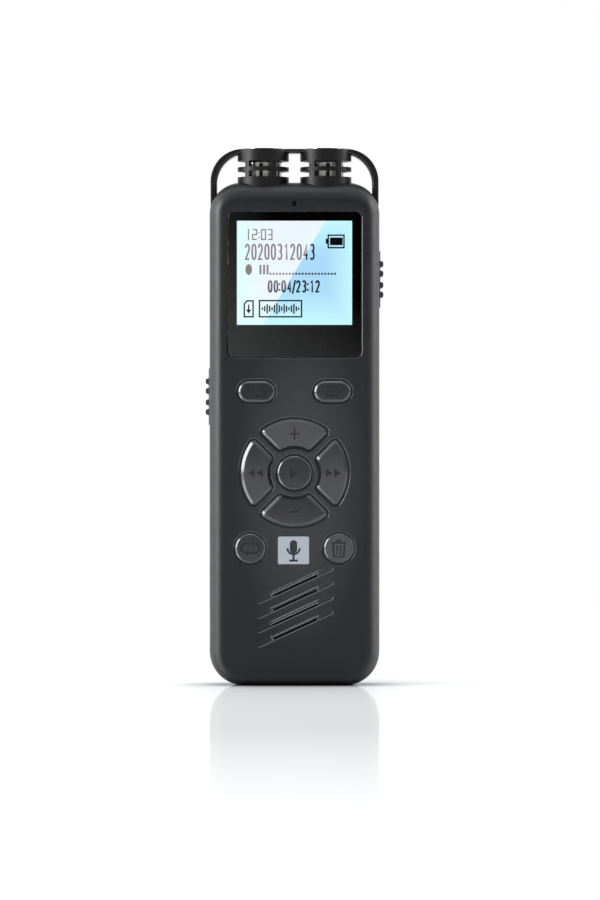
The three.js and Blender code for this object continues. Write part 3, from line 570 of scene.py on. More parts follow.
def clear_plastic():
    graph = new_material("window_clear")
    graph.feed(graph.shader, {
        "Base Color": (0.97, 0.98, 0.985, 1), "Transmission Weight": 1.0, "IOR": 1.46,
        "Roughness": graph.spread(graph.noise(300), 0.0, 0.012)})
    return graph.owner


def lit_material(name, color, roughness):
    """A material that glows, and whether the place shaded is right of the line where the display's
    painted glare ends (1) or in that glare, left of it (0), and that place's coordinates."""
    graph = new_material(name)
    graph.feed(graph.shader, {"Base Color": color, "Roughness": roughness,
                              "Specular IOR Level": 0.1, "Emission Strength": 1.0})
    place = graph.split(graph.place())
    slope = (GLARE_TOP[0] - GLARE_BOTTOM[0]) / (GLARE_TOP[1] - GLARE_BOTTOM[1])
    line = graph.calc("MULTIPLY_ADD", place["Z"], -slope,
                      (slope * GLARE_BOTTOM[1] - GLARE_BOTTOM[0]) * MM)
    past = graph.calc("ADD", place["X"], line)
    return graph, graph.spread(past, 0, 1, -0.1 * MM, 0.1 * MM), place


def panel_material():
    graph, right, place = lit_material("display_and_painted_glare", (0.02, 0.025, 0.03, 1), 0.4)
    low_edge = graph.spread(place["Z"], 1, 0, 74.2 * MM, 81.5 * MM)
    right_edge = graph.spread(place["X"], 0, 1, 6.5 * MM, 11.8 * MM)
    left_edge = graph.spread(place["X"], 1, 0, -11.8 * MM, -7 * MM)
    top_edge = graph.spread(place["Z"], 0, 1, 88 * MM, 95.5 * MM)
    rim = graph.calc("MAXIMUM", graph.calc("MAXIMUM", low_edge, right_edge), top_edge)
    near = graph.calc("MAXIMUM", low_edge, left_edge)
    # Left of the line the pale colour is a painted glare reflection over the display; right of it is the display's
    # own blue. Both change tint towards the panel's edges.
    blue = graph.blend(rim, (0.44, 0.76, 1.02), (0.6, 1.03, 1.06))
    pale = graph.blend(near, (0.92, 1.0, 1.06), (0.80, 1.08, 1.08))
    graph.feed(graph.shader, {"Emission Color": graph.blend(right, pale, blue)})
    return graph.owner


def glyph_material():
    graph, right, place = lit_material("glyphs_under_painted_glare", (0.004, 0.004, 0.005, 1), 0.5)
    # The glyphs glow grey where the painted glare lies over them, left of the line and above the lower part of the
    # panel, and are black elsewhere.
    low = graph.spread(place["Z"], 1, 0, 80 * MM, 84 * MM)
    dark = graph.calc("MAXIMUM", right, low)
    graph.feed(graph.shader, {
        "Emission Color": graph.blend(dark, (0.26, 0.22, 0.215), (0.0, 0.0, 0.0))})
    return graph.owner


# The casing's colour carries a painted highlight in the middle of its face.
casing_plastic = painted_face_highlight(moulded("casing_soft_touch", (0.0052, 0.0056, 0.0082), 0.42))
# Lip finishes: the first is glossier than the casing and a little lighter, the second much paler. Their lighter
# colours are painted highlights on the lips of holes and on the speaker slots' lower lips.
lip_gloss_and_highlight = moulded("lip_gloss_and_highlight", (0.0095, 0.0099, 0.012), 0.22, specular=1.0, coat=0.5)
slot_lip_painted_highlight = moulded("slot_lip_painted_highlight", (0.075, 0.077, 0.085), 0.45, specular=0.6)
EDGE_FINISHES = (casing_plastic, lip_gloss_and_highlight, slot_lip_painted_highlight)
key_plastic = moulded("key_plastic", (0.0195, 0.0202, 0.025), 0.2, specular=0.7, coat=0.7,
                      grain_height=0.001, gloss_spread=0.03)
icon_paint = moulded("icon_paint", (0.0175, 0.0175, 0.021), 0.5, specular=0.4)
mic_plastic = moulded("microphone_plastic", (0.0055, 0.0055, 0.0065), 0.4, specular=0.3)
slider_plastic = moulded("slider_plastic", (0.016, 0.0165, 0.018), 0.45)
hoop_paint = moulded("hoop_paint", (0.006, 0.0055, 0.005), 0.3, specular=0.45, coat=0.15)
polished = moulded("polished_metal", (0.86, 0.86, 0.87), 0.08, metallic=1.0, mottle=0.02,
                   gloss_spread=0.02, grain_height=0.0)
capsule_metal = moulded("capsule_metal", (0.9, 0.9, 0.84), 0.3, metallic=0.8, mottle=0.03)
steel = moulded("plain_steel", (0.45, 0.46, 0.47), 0.32, metallic=1.0, mottle=0.08)
badge_metal = moulded("badge_metal", (0.46, 0.515, 0.57), 0.42, metallic=0.25, mottle=0.03)
board_mask = moulded("board_mask", (0.01, 0.09, 0.035), 0.35, mottle=0.2)
rubber = moulded("black_rubber", (0.014, 0.014, 0.016), 0.75, specular=0.3, grain_height=0.01)
black_plastic = moulded("black_plastic", (0.01, 0.01, 0.012), 0.5)
white_plastic = moulded("white_plastic", (0.75, 0.77, 0.75), 0.5)
foil = moulded("cell_foil", (0.55, 0.57, 0.6), 0.35, metallic=0.9, grain=1500, grain_height=0.03)
amber_film = moulded("amber_film", (0.45, 0.17, 0.03), 0.3, grain_height=0.001)
red_plastic = moulded("red_insulation", (0.36, 0.01, 0.01), 0.45)
mesh_metal = moulded("mesh_metal", (0.4, 0.4, 0.41), 0.35, metallic=0.4)
cloth_weave = moulded("speaker_cloth", (0.002, 0.002, 0.0022), 0.8, specular=0.1)
ink = moulded("window_ink", (0.0004, 0.0004, 0.0005), 0.25, specular=0.05, grain_height=0.0)
window_clear = clear_plastic()
display_and_painted_glare = panel_material()
glyphs_under_painted_glare = glyph_material()


# ---- handing pieces over

def hand_over(obj, name, finish, replaces=(), body="housing"):
    """Scales a finished solid to metres, smooths it between its sharp edges, and rides it."""
    obj.name = name
    mesh = obj.data
    mesh.transform(Matrix.Scale(MM, 4))
    if not mesh.materials:
        mesh.materials.append(finish)
    mesh.shade_smooth()
    mesh.set_sharp_from_angle(angle=math.radians(SHARP_ANGLE))
    weighted = obj.modifiers.new("normals", "WEIGHTED_NORMAL")
    weighted.keep_sharp = True
    weighted.weight = 80
    with_modifiers_applied(obj)
    obj.data.name = name
    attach(obj, body)
    if replaces:
        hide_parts(*replaces)


# ---- casing

def casing_outline(grow, per_corner):
    """Points of the casing's outline with their outward directions, grown by an amount."""
    corners = [
        (SIDE - BOTTOM_CORNER, BOTTOM_CORNER, BOTTOM_CORNER, -90),
        (SIDE - TOP_CORNER, HEIGHT - TOP_CORNER, TOP_CORNER, 0),
        (-SIDE + TOP_CORNER, HEIGHT - TOP_CORNER, TOP_CORNER, 90),
        (-SIDE + BOTTOM_CORNER, BOTTOM_CORNER, BOTTOM_CORNER, 180),
    ]
    points = []
    for x, z, radius, start in corners:
        for angle in np.radians(np.linspace(start, start + 90, per_corner + 1)):
            nx, nz = math.cos(angle), math.sin(angle)
            points.append((x + (radius + grow) * nx, z + (radius + grow) * nz, nx, nz))
    return points


def casing_plate(grow, y0, y1):
    return plate([(x, z) for x, z, _, _ in casing_outline(grow, 12)], y0, y1)


def slab_rings(grow, face, inwards, inset, depth, per_corner, steps):
    """Rings from a flat face out to the full outline; inwards is +1 or -1 along Y."""
    def blend(sizes, nx, nz):
        end = sizes["top"] if nz > 0 else sizes["bottom"]
        return sizes["side"] * nx * nx + end * nz * nz

    rings = []
    for turn in np.linspace(0, math.pi / 2, steps + 1):
        ring = []
        for x, z, nx, nz in casing_outline(grow, per_corner):
            back_off = blend(inset, nx, nz) * (1 - math.sin(turn))
            y = face + inwards * blend(depth, nx, nz) * (1 - math.cos(turn))
            ring.append((x - nx * back_off, y, z - nz * back_off))
        rings.append(ring)
    return rings


def both_faces(grow, front, back, *sizes):
    """A solid between two faces with the casing's rolled edges."""
    return loft(slab_rings(grow, front, 1, *sizes) + slab_rings(grow, back, -1, *sizes)[::-1])


def cavity():
    return both_faces(-SIDE_WALL, INNER_FRONT, INNER_BACK, CAVITY_INSET, CAVITY_DEPTH, 10, 6)


def half_casing(face, inwards):
    """One half of the casing as a solid, with a small chamfer at the parting line."""
    rings = slab_rings(0, face, inwards, EDGE_INSET, EDGE_DEPTH, 28, 18)
    outline = casing_outline(0, 28)
    for grow, gap in ((0, PARTING_CHAMFER), (-PARTING_CHAMFER, 0)):
        y = -inwards * (PARTING + gap)
        rings.append([(x + nx * grow, y, z + nz * grow) for x, z, nx, nz in outline])
    return loft(rings if inwards > 0 else rings[::-1])


def key_outline(node):
    """A key's outline in place, as a function of how far it is grown."""
    space = Box(node)
    x, z = space.centre.x, space.centre.z
    width, height = space.size.x - 2 * FLANGE_REACH, space.size.z - 2 * FLANGE_REACH
    kind, _ = KEYS[node]
    if kind == "pill":
        return lambda grow: stadium(width + 2 * grow, height + 2 * grow) + (x, z)
    if kind == "disc":
        return growing_disc(width / 2, x, z)
    ring = Box("play_button").centre
    return lambda grow: quadrant(grow, QUARTER_TURNS[node]) + (ring.x, ring.z)


screw_nodes = [node for node in frame["nodes"] if node.startswith("screw_")]
screw_places = [Box(node).centre for node in screw_nodes]
tower_places = [Box(f"{side}_mic_barrel").centre.x for side in ("left", "right")]


def slider_recess(name, side):
    """The recess for a side slider: its plate's outline lengthened by its travel."""
    space = Box(f"{name}_slider")
    joint = next(j for j in frame["joints"] if j["child"] == f"{name}_slider")
    down, up = (travel / MM for travel in joint["range_m"])
    width, gap, depth = 4.8, 0.3, 0.85
    slot_width, slot_length, slot_depth = 1.4, 3.9, 2.2
    centre = (space.high.z + space.low.z + up + down) / 2
    recess = hole(growing_box(width, space.size.z + up - down + gap, 0.5, 0, centre),
                  -SIDE, -SIDE + depth, lip=0.15)
    slot = plate(rounded_box(slot_width, slot_length + up - down, 0.3, 0, centre),
                 -SIDE, -SIDE + slot_depth)
    return moved(recess, turn=90 * side), moved(slot, turn=90 * side)


def hoop_tabs(gap, extra):
    """The tabs at the hoop's two ends, grown by a gap and made longer at the top."""
    inner, outer, half = TAB["inner"] - gap, TAB["outer"] + gap, TAB["half"] + gap
    return [block(x0, x1, -half, half, TAB["bottom"] - gap, TAB["top"] + extra)
            for x0, x1 in ((inner, outer), (-outer, -inner))]


def port_cutters():
    """Openings that both halves share: towers, hoop tabs, sockets and side sliders."""
    usb, jack, card = Box("usb_socket"), Box("headphone_jack").centre, Box("card_socket")
    reach = 2.4
    cutters = [upright_bar(TOWER_RADIUS + 0.07, x, TOWER_FOOT, HEIGHT + 1) for x in tower_places]
    cutters += hoop_tabs(0.1, 0.6)
    mouth = hole(growing_box(usb.size.x + 0.7, usb.size.y + 0.6, 0.9), 0, 2, lip=0.2)
    cutters.append(moved(mouth, (usb.centre.x, usb.centre.y, 0), 90, "X"))
    ring = hole(growing_disc(2.45, jack.y, jack.z), -SIDE, -SIDE + reach, lip=0.2)
    cutters.append(moved(ring, turn=90))
    slit = hole(growing_box(1.0, card.size.z - 0.2, 0.4, -card.centre.y, card.centre.z),
                -SIDE, -SIDE + reach, lip=0.15)
    cutters.append(moved(slit, turn=-90))
    return [*cutters, *slider_recess("record", -1), *slider_recess("power", 1)]


def slot_cutters(index):
    """A speaker slot whose floor slopes in from its upper edge to its lower one, and the part
    of it that goes right through the wall."""
    outline = stadium(SLOT_LENGTH, SLOT_WIDTH, 16)
    z = SLOT_TOP - index * SLOT_PITCH
    end = (SLOT_LENGTH - SLOT_WIDTH) / 2

    def ring(grow, depth, slope):
        """The outline grown and sunk by amounts that are nothing at the upper edge."""
        points = []
        for px, pz in outline:
            centre = max(-end, min(end, px))
            share = (SLOT_WIDTH / 2 - pz) / SLOT_WIDTH
            reach = 1 + grow * share / (SLOT_WIDTH / 2)
            x, v = turned([(centre + (px - centre) * reach, pz * reach)], SLOT_ANGLE)[0]
            points.append((x, FRONT + (depth + slope * share), v + z))
        return points

    rings = [ring(SLOT_LIP, -0.6, 0)]
    rings += [ring(inset, 0, depth) for inset, depth in rolled(SLOT_LIP, SLOT_LIP, 4, 1.2)]
    rings.append(ring(0, 0.02, SLOT_DEPTH))
    through = plate(turned(stadium(SLOT_LENGTH, SLOT_WIDTH - 0.12, 16), SLOT_ANGLE) + (0, z),
                    FRONT, INNER_FRONT + 1)
    half = SLOT_OPENING / 2
    middle_part = block(-half, half, FRONT - 1, 0, 0, HEIGHT / 2)
    return loft(rings), combined(through, [middle_part], "INTERSECT")


def edged(tool, towards=None, finish=lip_gloss_and_highlight):
    """Marks a cutter whose lip and walls, but not its floor, have one of the edge finishes, whose
    lighter colour is a painted highlight. A lofted cutter's floor is its last face. towards keeps
    it to one side of the cutter."""
    painted(tool, EDGE_FINISHES)
    for face in list(tool.data.polygons)[:-1]:
        if towards is None or face.normal.dot(towards) > 0.3:
            face.material_index = EDGE_FINISHES.index(finish)
    return tool


def face_cutters():
    """The window's seat and view, the badge's seat, the light's hole, keys and slots."""
    window, badge, light = Box("display_window"), Box("front_badge"), Box("light_pipe").centre
    behind = INNER_FRONT + 1
    window_seat = hole(window.outline(WINDOW_CORNER), FRONT, window.high.y + 0.05, WINDOW_GAP,
                       WINDOW_LIP)
    # A lighter lip finish is a painted highlight: on the window's lower and right lips, on every key hole's lip,
    # and on each speaker slot's lower lip.
    tools = [edged(window_seat, Vector((0.7, 0, -0.7))), plate(view_outline(), FRONT, behind)]
    tools.append(hole(badge.outline(BADGE_CORNER), FRONT, FRONT + 0.3, 0.06, 0.06))
    tools.append(hole(growing_disc(LIGHT_HOLE, light.x, light.z, 32), FRONT, behind, lip=0.05))
    for node in KEYS:
        tools.append(edged(hole(key_outline(node), FRONT, behind, KEY_CLEARANCE)))
    slant = math.radians(SLOT_ANGLE)
    downhill = Vector((math.sin(slant), 0, -math.cos(slant)))
    for index in range(SLOT_COUNT):
        groove, opening = slot_cutters(index)
        tools += [edged(groove, downhill, slot_lip_painted_highlight), opening]
    return tools


def build_front_shell():
    shell = half_casing(FRONT, 1)
    bosses = [bar_along_y(BOSS_RADIUS, INNER_FRONT - 0.3, -2 * PARTING, p) for p in screw_places]
    lip_seat = casing_plate(-LIP_OUTSIDE + 0.1, -1.0, 1)
    cut(shell, cavity(), lip_seat)
    join(shell, *bosses)
    tools = face_cutters()
    mesh, gap = Box("speaker_mesh"), 0.1
    tools.append(block(mesh.low.x - gap, mesh.high.x + gap, MESH_FRONT, 0,
                       mesh.low.z - gap, mesh.high.z + gap))
    tools += [bar_along_y(FRONT_BORE, INNER_FRONT + 1, 1, p) for p in screw_places]
    cut(painted(shell, EDGE_FINISHES), *tools, *port_cutters())
    hand_over(shell, "front_shell_body", casing_plastic, ["front_shell"])


def build_rear_shell():
    shell = half_casing(BACK, -1)
    lip = cut(casing_plate(-LIP_OUTSIDE, -0.9, 1.5), casing_plate(-LIP_INSIDE, -7, 7))
    cut(shell, cavity())
    columns = [bar_along_y(COLUMN_RADIUS, 2 * PARTING, INNER_BACK + 0.3, p)
               for p in screw_places]
    join(shell, lip, *columns)
    tools = port_cutters()
    for place in screw_places:
        head_seat = BACK - HEAD_HEIGHT - 1.3
        recess = hole(growing_disc(HEAD_RECESS, place.x, -place.z, 48), -BACK, -head_seat,
                      lip=0.18)
        tools.append(moved(recess, turn=180, axis="X"))
        tools.append(bar_along_y(REAR_BORE, -1, BACK, place))
    cut(shell, *tools)
    hand_over(shell, "rear_shell_body", casing_plastic, ["rear_shell"])


# ---- badge and screws

def build_badge():
    space = Box("front_badge")
    x, z = space.centre.x, space.centre.z
    badge = cushion(space.outline(BADGE_CORNER), space.low.y, space.high.y, 0.06, 0.06, 3)
    # The outline of a microphone: a capsule, the cup under it, and its foot.
    cup, cup_z, line, foot = 1.25, 0.45, 0.42, -2.1
    outlines = [
        turned(stadium(2.7, 1.5), 90) + (0, 0.75),
        arc_band(0, cup_z, cup, line, 180, 360, 24),
        bar(0, foot, 0, cup_z - cup, line),
        bar(-cup * 0.7, foot, cup * 0.7, foot, line),
    ]
    cut(badge, *[plate(outline + (x, z), FRONT - 1, INNER_FRONT) for outline in outlines])
    hand_over(badge, "badge_plate", badge_metal, ["front_badge"])


def build_screw(node):
    """A pan-head screw with a cross recess, lying along Y with its head to the back."""
    space = Box(node)
    head, shank, edge = space.size.x / 2, 0.75, 0.18
    length = space.size.y - HEAD_HEIGHT
    profile = [(0, -length), (shank * 0.6, -length), (shank, -length + 0.5), (shank, 0), (head, 0)]
    profile += [(head - inset, HEAD_HEIGHT - depth)
                for inset, depth in rolled(edge, edge, 4)[::-1]]
    profile.append((0, HEAD_HEIGHT))
    screw = lathe(profile, 48)
    arms = [plate(rounded_box(1.9, 0.4, 0.12), -HEAD_HEIGHT, -HEAD_HEIGHT / 2) for _ in range(2)]
    moved(arms[1], turn=90, axis="Y")
    cut(screw, *[moved(arm, turn=-90, axis="X") for arm in arms])
    moved(screw, (space.centre.x, space.high.y - HEAD_HEIGHT, space.centre.z), -90, "X")
    hand_over(screw, node + "_head", steel, [node])


# ---- keys

def icons():
    """Each key's engraved symbol, as solid outlines about the key's own middle."""
    line, thick, thin = 0.3, 0.36, 0.22
    bin_lines = [
        bar(-1.45, 1.15, 1.45, 1.15, line), bar(-0.5, 1.6, 0.5, 1.6, line),
        bar(-1.15, 0.8, -1.0, -1.7, line), bar(1.15, 0.8, 1.0, -1.7, line),
        bar(-1.1, -1.7, 1.1, -1.7, line),
        bar(-0.36, 0.6, -0.36, -1.3, thin), bar(0.36, 0.6, 0.36, -1.3, thin),
    ]
    loop = [
        arc_band(-0.9, 0, 0.95, line, 90, 250), arc_band(0.9, 0, 0.95, line, -90, 70),
        bar(-0.9, 0.95, 0.5, 0.95, line), bar(0.9, -0.95, -0.5, -0.95, line),
        triangle(0.75, 0.95, 0.7, 1.0), triangle(-0.75, -0.95, 0.7, 1.0, 180),
    ]
    back = [
        triangle(-1.55, 0.45, 0.9, 1.3, 180), bar(-1.2, 0.45, 1.0, 0.45, thick),
        arc_band(1.0, -0.25, 0.7, thick, -90, 90), bar(1.0, -0.95, -0.2, -0.95, thick),
    ]
    minus = bar(-0.95, 0, 0.95, 0, line)
    return {
        "back_button": back,
        "menu_button": [bar(-1.2, z, 1.2, z, thick) for z in (-0.85, 0, 0.85)],
        "volume_up_button": [minus, bar(0, -1.2, 0, 1.2, line)],
        "volume_down_button": [minus],
        "rewind_button": [triangle(x, 0, 1.35, 1.7, 180) for x in (-0.85, 0.85)],
        "forward_button": [triangle(x, 0, 1.35, 1.7) for x in (-0.85, 0.85)],
        "play_button": [triangle(0.1, 0, 1.8, 2.2)],
        "repeat_button": loop,
        "delete_button": bin_lines,
    }


def gridded(obj, spacing):
    """Cuts a mesh along an even grid in X and Z, so that its flat faces can be bent."""
    mesh = bmesh.new()
    mesh.from_mesh(obj.data)
    corners = np.array([v.co for v in mesh.verts])
    for axis in (0, 2):
        low, high = corners[:, axis].min(), corners[:, axis].max()
        normal = [0, 0, 0]
        normal[axis] = 1
        for place in np.arange(low + spacing / 2, high, spacing):
            point = [0, 0, 0]
            point[axis] = place
            geometry = mesh.verts[:] + mesh.edges[:] + mesh.faces[:]
            bmesh.ops.bisect_plane(mesh, geom=geometry, dist=1e-5, plane_co=point, plane_no=normal)
    mesh.to_mesh(obj.data)
    mesh.free()


class Crown:
    """A key's slightly domed and tilted face, about its middle."""

    def __init__(self, node, x, z):
        self.x, self.z = x, z
        self.tilt = math.tan(math.radians(KEYS[node][1]))
        self.sunk = abs(self.tilt) * (Box(node).size.z / 2 - FLANGE_REACH)

    def depth(self, place):
        """How far the face lies behind its foremost point."""
        east, up = place.x - self.x, place.z - self.z
        return (east ** 2 + up ** 2) / (2 * CROWN_RADIUS) + self.tilt * up + self.sunk

    def normal(self, place):
        east, up = place.x - self.x, place.z - self.z
        return Vector((east / CROWN_RADIUS, -1, up / CROWN_RADIUS + self.tilt)).normalized()

    def bend(self, obj, back):
        for vertex in obj.data.vertices:
            if vertex.co.y < back:
                vertex.co.y += self.depth(vertex.co)

    def shade(self, mesh, front):
        """Gives the face its true normals, so that the cuts in it don't show as creases."""
        normals = [corner.vector.copy() for corner in mesh.corner_normals]
        for polygon in mesh.polygons:
            if polygon.normal.y > -0.9:
                continue
            for corner in polygon.loop_indices:
                place = mesh.vertices[mesh.loops[corner].vertex_index].co / MM
                if abs(place.y - front - self.depth(place)) < 0.004:
                    normals[corner] = self.normal(place)
        mesh.normals_split_custom_set(normals)


def build_key(node):
    space, outline = Box(node), key_outline(node)
    front = space.low.y
    middle = plunger_place = space.centre
    if node in QUARTER_TURNS:
        angle = math.radians(90 + QUARTER_TURNS[node])
        outwards = Vector((math.cos(angle), 0, math.sin(angle)))
        ring = Box("play_button").centre
        middle, plunger_place = ring + ICON_REACH * outwards, ring + PLUNGER_REACH * outwards
    width, depth, roundness = RIMS[KEYS[node][0]]
    crown = Crown(node, middle.x, middle.z)
    flange_front = INNER_FRONT + FLANGE_GAP
    cap = cushion(outline, front, flange_front + 0.1, width, depth, 9, roundness=roundness)
    gridded(cap, CROWN_GRID)
    crown.bend(cap, front + depth + 0.01)
    flange = plate(outline(FLANGE_REACH), flange_front, flange_front + FLANGE_THICKNESS)
    plunger = bar_along_y(PLUNGER_RADIUS, flange_front + 0.4, space.high.y, plunger_place)
    join(cap, flange, plunger)
    finishes = (key_plastic, icon_paint)
    symbol = [plate(np.asarray(shape) + (middle.x, middle.z), front - 0.5,
                    front + crown.sunk + ICON_DEPTH) for shape in icons()[node]]
    cut(painted(cap, finishes), *[painted(shape, finishes, 1) for shape in symbol])
    hand_over(cap, node + "_cap", key_plastic, [node], body=node)
    crown.shade(cap.data, front)


# ---- display

# Digits as strokes in a box that is one wide and one high.
ROUND_DIGITS = {
    "0": [("ring",)],
    "1": [("line", (0.2, 0.82), (0.6, 1.02), (0.6, -0.05))],
    "2": [("line", (0.02, 0.78), (0.1, 0.93), (0.32, 1.0), (0.62, 1.0), (0.86, 0.92), (0.95, 0.76),
           (0.9, 0.6), (0.0, 0.0), (1.0, 0.0))],
    "3": [("line", (0.02, 0.9), (0.3, 1.0), (0.62, 1.0), (0.86, 0.92), (0.93, 0.77), (0.85, 0.61),
           (0.6, 0.53), (0.3, 0.53)),
          ("line", (0.6, 0.53), (0.88, 0.45), (0.98, 0.27), (0.88, 0.08), (0.6, 0.0), (0.28, 0.0),
           (0.0, 0.1))],
    "4": [("line", (0.74, -0.05), (0.74, 1.0), (0.02, 0.28), (1.05, 0.28))],
}
SQUARE_DIGITS = {
    "0": [("loop", (0, 0), (1, 0), (1, 1), (0, 1))],
    "1": [("line", (0.6, -0.06), (0.6, 1.06))],
    "2": [("line", (0, 1), (1, 1), (1, 0.5), (0, 0.5), (0, 0), (1, 0))],
    "3": [("line", (0, 1), (1, 1), (1, 0), (0, 0)), ("line", (0.05, 0.5), (1, 0.5))],
}
SOUND_BARS = (0.5, 1.1, 1.9, 1.3, 0.7, 1.6, 2.3, 1.5, 0.9, 1.8, 1.2, 0.6, 1.4, 2.1, 1.0, 0.5)


def band(points, width, closed, y0, y1):
    """A stroke of even width along a line in X and Z, as vertices and faces of a closed solid."""
    points = np.asarray(points, float)
    count = len(points)
    sides = []
    for i in range(count):
        before = points[i] - points[i - 1] if i or closed else None
        after = points[(i + 1) % count] - points[i] if i + 1 < count or closed else None
        steps = [step / np.linalg.norm(step) for step in (before, after) if step is not None]
        along = sum(steps)
        along = along / np.linalg.norm(along)
        stretch = min(1.6, 1 / max(0.3, along @ steps[0]))
        sides.append(np.array([-along[1], along[0]]) * stretch * width / 2)
    vertices = []
    for point, side in zip(points, sides):
        for y in (y0, y1):
            for place in (point + side, point - side):
                vertices.append((place[0], y, place[1]))
    faces = []
    for i in range(count if closed else count - 1):
        a, b = 4 * i, 4 * ((i + 1) % count)
        faces += [(a, a + 1, b + 1, b), (a + 2, b + 2, b + 3, a + 3),
                  (a, b, b + 2, a + 2), (a + 1, a + 3, b + 3, b + 1)]
    if not closed:
        last = 4 * (count - 1)
        faces += [(0, 2, 3, 1), (last, last + 1, last + 3, last + 2)]
    return vertices, faces


def oval():
    """A narrow zero, in a box that is one wide and one high."""
    def eased(value, power):
        return 0.5 + 0.5 * np.sign(value) * abs(value) ** power

    turns = np.radians(np.arange(24) * 15)
    return [(eased(math.cos(t), 0.8), eased(math.sin(t), 0.75)) for t in turns]


class Strokes:
    """Gathers strokes and filled shapes at one depth into a single mesh."""

    def __init__(self, y0, y1):
        self.y0, self.y1 = y0, y1
        self.vertices, self.faces = [], []

    def add(self, vertices, faces):
        start = len(self.vertices)
        self.vertices += vertices
        self.faces += [tuple(start + i for i in face) for face in faces]

    def line(self, points, width, closed=False):
        self.add(*band(points, width, closed, self.y0, self.y1))

    def fill(self, outline):
        count = len(outline)
        vertices = [(x, y, z) for y in (self.y0, self.y1) for x, z in outline]
        faces = [tuple(range(count)), tuple(reversed(range(count, 2 * count)))]
        faces += [(i, i + count, (i + 1) % count + count, (i + 1) % count) for i in range(count)]
        self.add(vertices, faces)

    def fill_box(self, width, height, corner, x, z):
        self.fill(rounded_box(width, height, corner, x, z, 2))

    def digit(self, strokes, x, z, width, height, line):
        for kind, *points in strokes:
            if kind == "ring":
                points = oval()
            placed = [(x + line / 2 + px * (width - line), z + line / 2 + pz * (height - line))
                      for px, pz in points]
            self.line(placed, line, kind != "line")

    def text(self, digits, shapes, x, z, width, height, pitch, gap, line):
        """Digits in a row from x, with their feet at z. A colon or a slash takes a gap."""
        for digit in digits:
            if digit == ":":
                for share in (0.22, 0.68):
                    self.fill(circle(line * 0.62, x - pitch * 0.14 + gap / 2, z + height * share,
                                     10))
                x += gap
            elif digit == "/":
                self.line([(x - 0.05, z - 0.25), (x + gap + 0.1, z + height)], line)
                x += gap + 0.25
            else:
                self.digit(shapes[digit], x, z, width, height, line)
                x += pitch


def build_picture():
    """The display's dark shapes, all of them generic."""
    front = Box("lcd_panel").low.y
    shapes, line = Strokes(front - 0.03, front - 0.002), 0.31
    shapes.text("12:03", SQUARE_DIGITS, -10.05, 91.55, 1.05, 2.25, 1.33, 0.5, 0.24)
    shapes.text("20200312043", ROUND_DIGITS, -10.2, 87.45, 1.08, 3.35, 1.33, 0.5, 0.34)
    shapes.text("00:04/23:12", ROUND_DIGITS, -5.5, 80.75, 0.98, 2.55, 1.18, 0.42, 0.36)
    # battery
    shapes.line([(6.93, 89.98), (10.17, 89.98), (10.17, 92.55), (6.93, 92.55)], 0.3, True)
    shapes.fill_box(2.62, 1.57, 0.05, 8.6, 91.28)
    shapes.fill_box(0.4, 1.05, 0.05, 6.62, 91.3)
    # recording dot, level bars and dotted scale
    shapes.fill(circle(1, steps=32) * (0.68, 1.1) + (-9.41, 85.5))
    for x in (-7.0, -6.25, -5.53):
        shapes.fill_box(0.4, 1.93, 0.04, x, 85.48)
    for step in range(21):
        shapes.fill_box(0.4, 0.42, 0.06, -4.95 + step * 0.664, 84.62)
    # memory card: an outline with a cut corner, and an arrow into it
    shapes.line([(-10.32, 75.78), (-8.51, 75.78), (-8.51, 79.05), (-9.75, 79.05), (-10.32, 78.4)],
                line, True)
    shapes.line([(-9.42, 78.3), (-9.42, 77.2)], 0.3)
    shapes.fill(triangle(-9.42, 76.85, 0.85, 1.1, -90))
    # recorded sound: bars of different heights in a frame
    shapes.line([(-7.2, 75.78), (1.45, 75.78), (1.45, 79.1), (-7.2, 79.1)], line, True)
    for step, height in enumerate(SOUND_BARS):
        shapes.fill_box(line, height, 0.05, -6.62 + step * 0.5, 77.44)
    picture = mesh_object(shapes.vertices, shapes.faces)
    hand_over(picture, "lcd_shapes", glyphs_under_painted_glare)


def build_window():
    space = Box("display_window")
    back = space.high.y
    outline = space.outline(WINDOW_CORNER)
    pane = cushion(outline, space.low.y, back, 0.1, 0.08, 3, back_rim=0.05, roundness=1.3)
    hand_over(pane, "window_pane", window_clear, ["display_window"])
    border = plate(outline(-0.06), back + 0.004, back + 0.03)
    cut(border, plate(view_outline(3), back - 1, 0))
    hand_over(border, "window_border", ink)


# ---- microphones and hoop

def hoop_arch(size, grow, bottom):
    steps = 28
    half, top, radius = size["half"] + grow, size["top"] + grow, size["radius"] + grow
    return np.vstack((
        [(-half, bottom), (half, bottom)],
        arc(half - radius, top - radius, radius, 0, 90, steps),
        arc(-half + radius, top - radius, radius, 90, 180, steps),
    ))


def swept_arch(size, half_depth, rim, sign, bottom, extra=0.0):
    """A solid under an arch from front to back. Its edges are rolled, outwards where sign is 1."""
    front_half = [(sign * inset, -half_depth + depth) for inset, depth in rolled(rim, rim, 5)]
    if extra:
        front_half.insert(0, (sign * rim, -half_depth - extra))
    steps = front_half + [(grow, -y) for grow, y in front_half[::-1]]
    return loft([at_depth(hoop_arch(size, grow, bottom), y) for grow, y in steps])


def build_hoop():
    half, gap = HOOP_DEPTH / 2, 0.1
    strip = swept_arch(HOOP, half, 0.16, -1, 95)
    inside = swept_arch(HOOP_INSIDE, half, 0.52, 1, 90, extra=1.0)
    body = both_faces(gap, FRONT - gap, BACK + gap, EDGE_INSET, EDGE_DEPTH, 20, 12)
    holes = [upright_bar(STEM_HOLE, x, HOOP_INSIDE["top"] - 1, HOOP["top"] + 1, 40)
             for x in tower_places]
    cut(strip, inside, body, *holes)
    join(strip, *hoop_tabs(0, 0))
    hand_over(strip, "guard_hoop", hoop_paint, ["mic_hoop"])


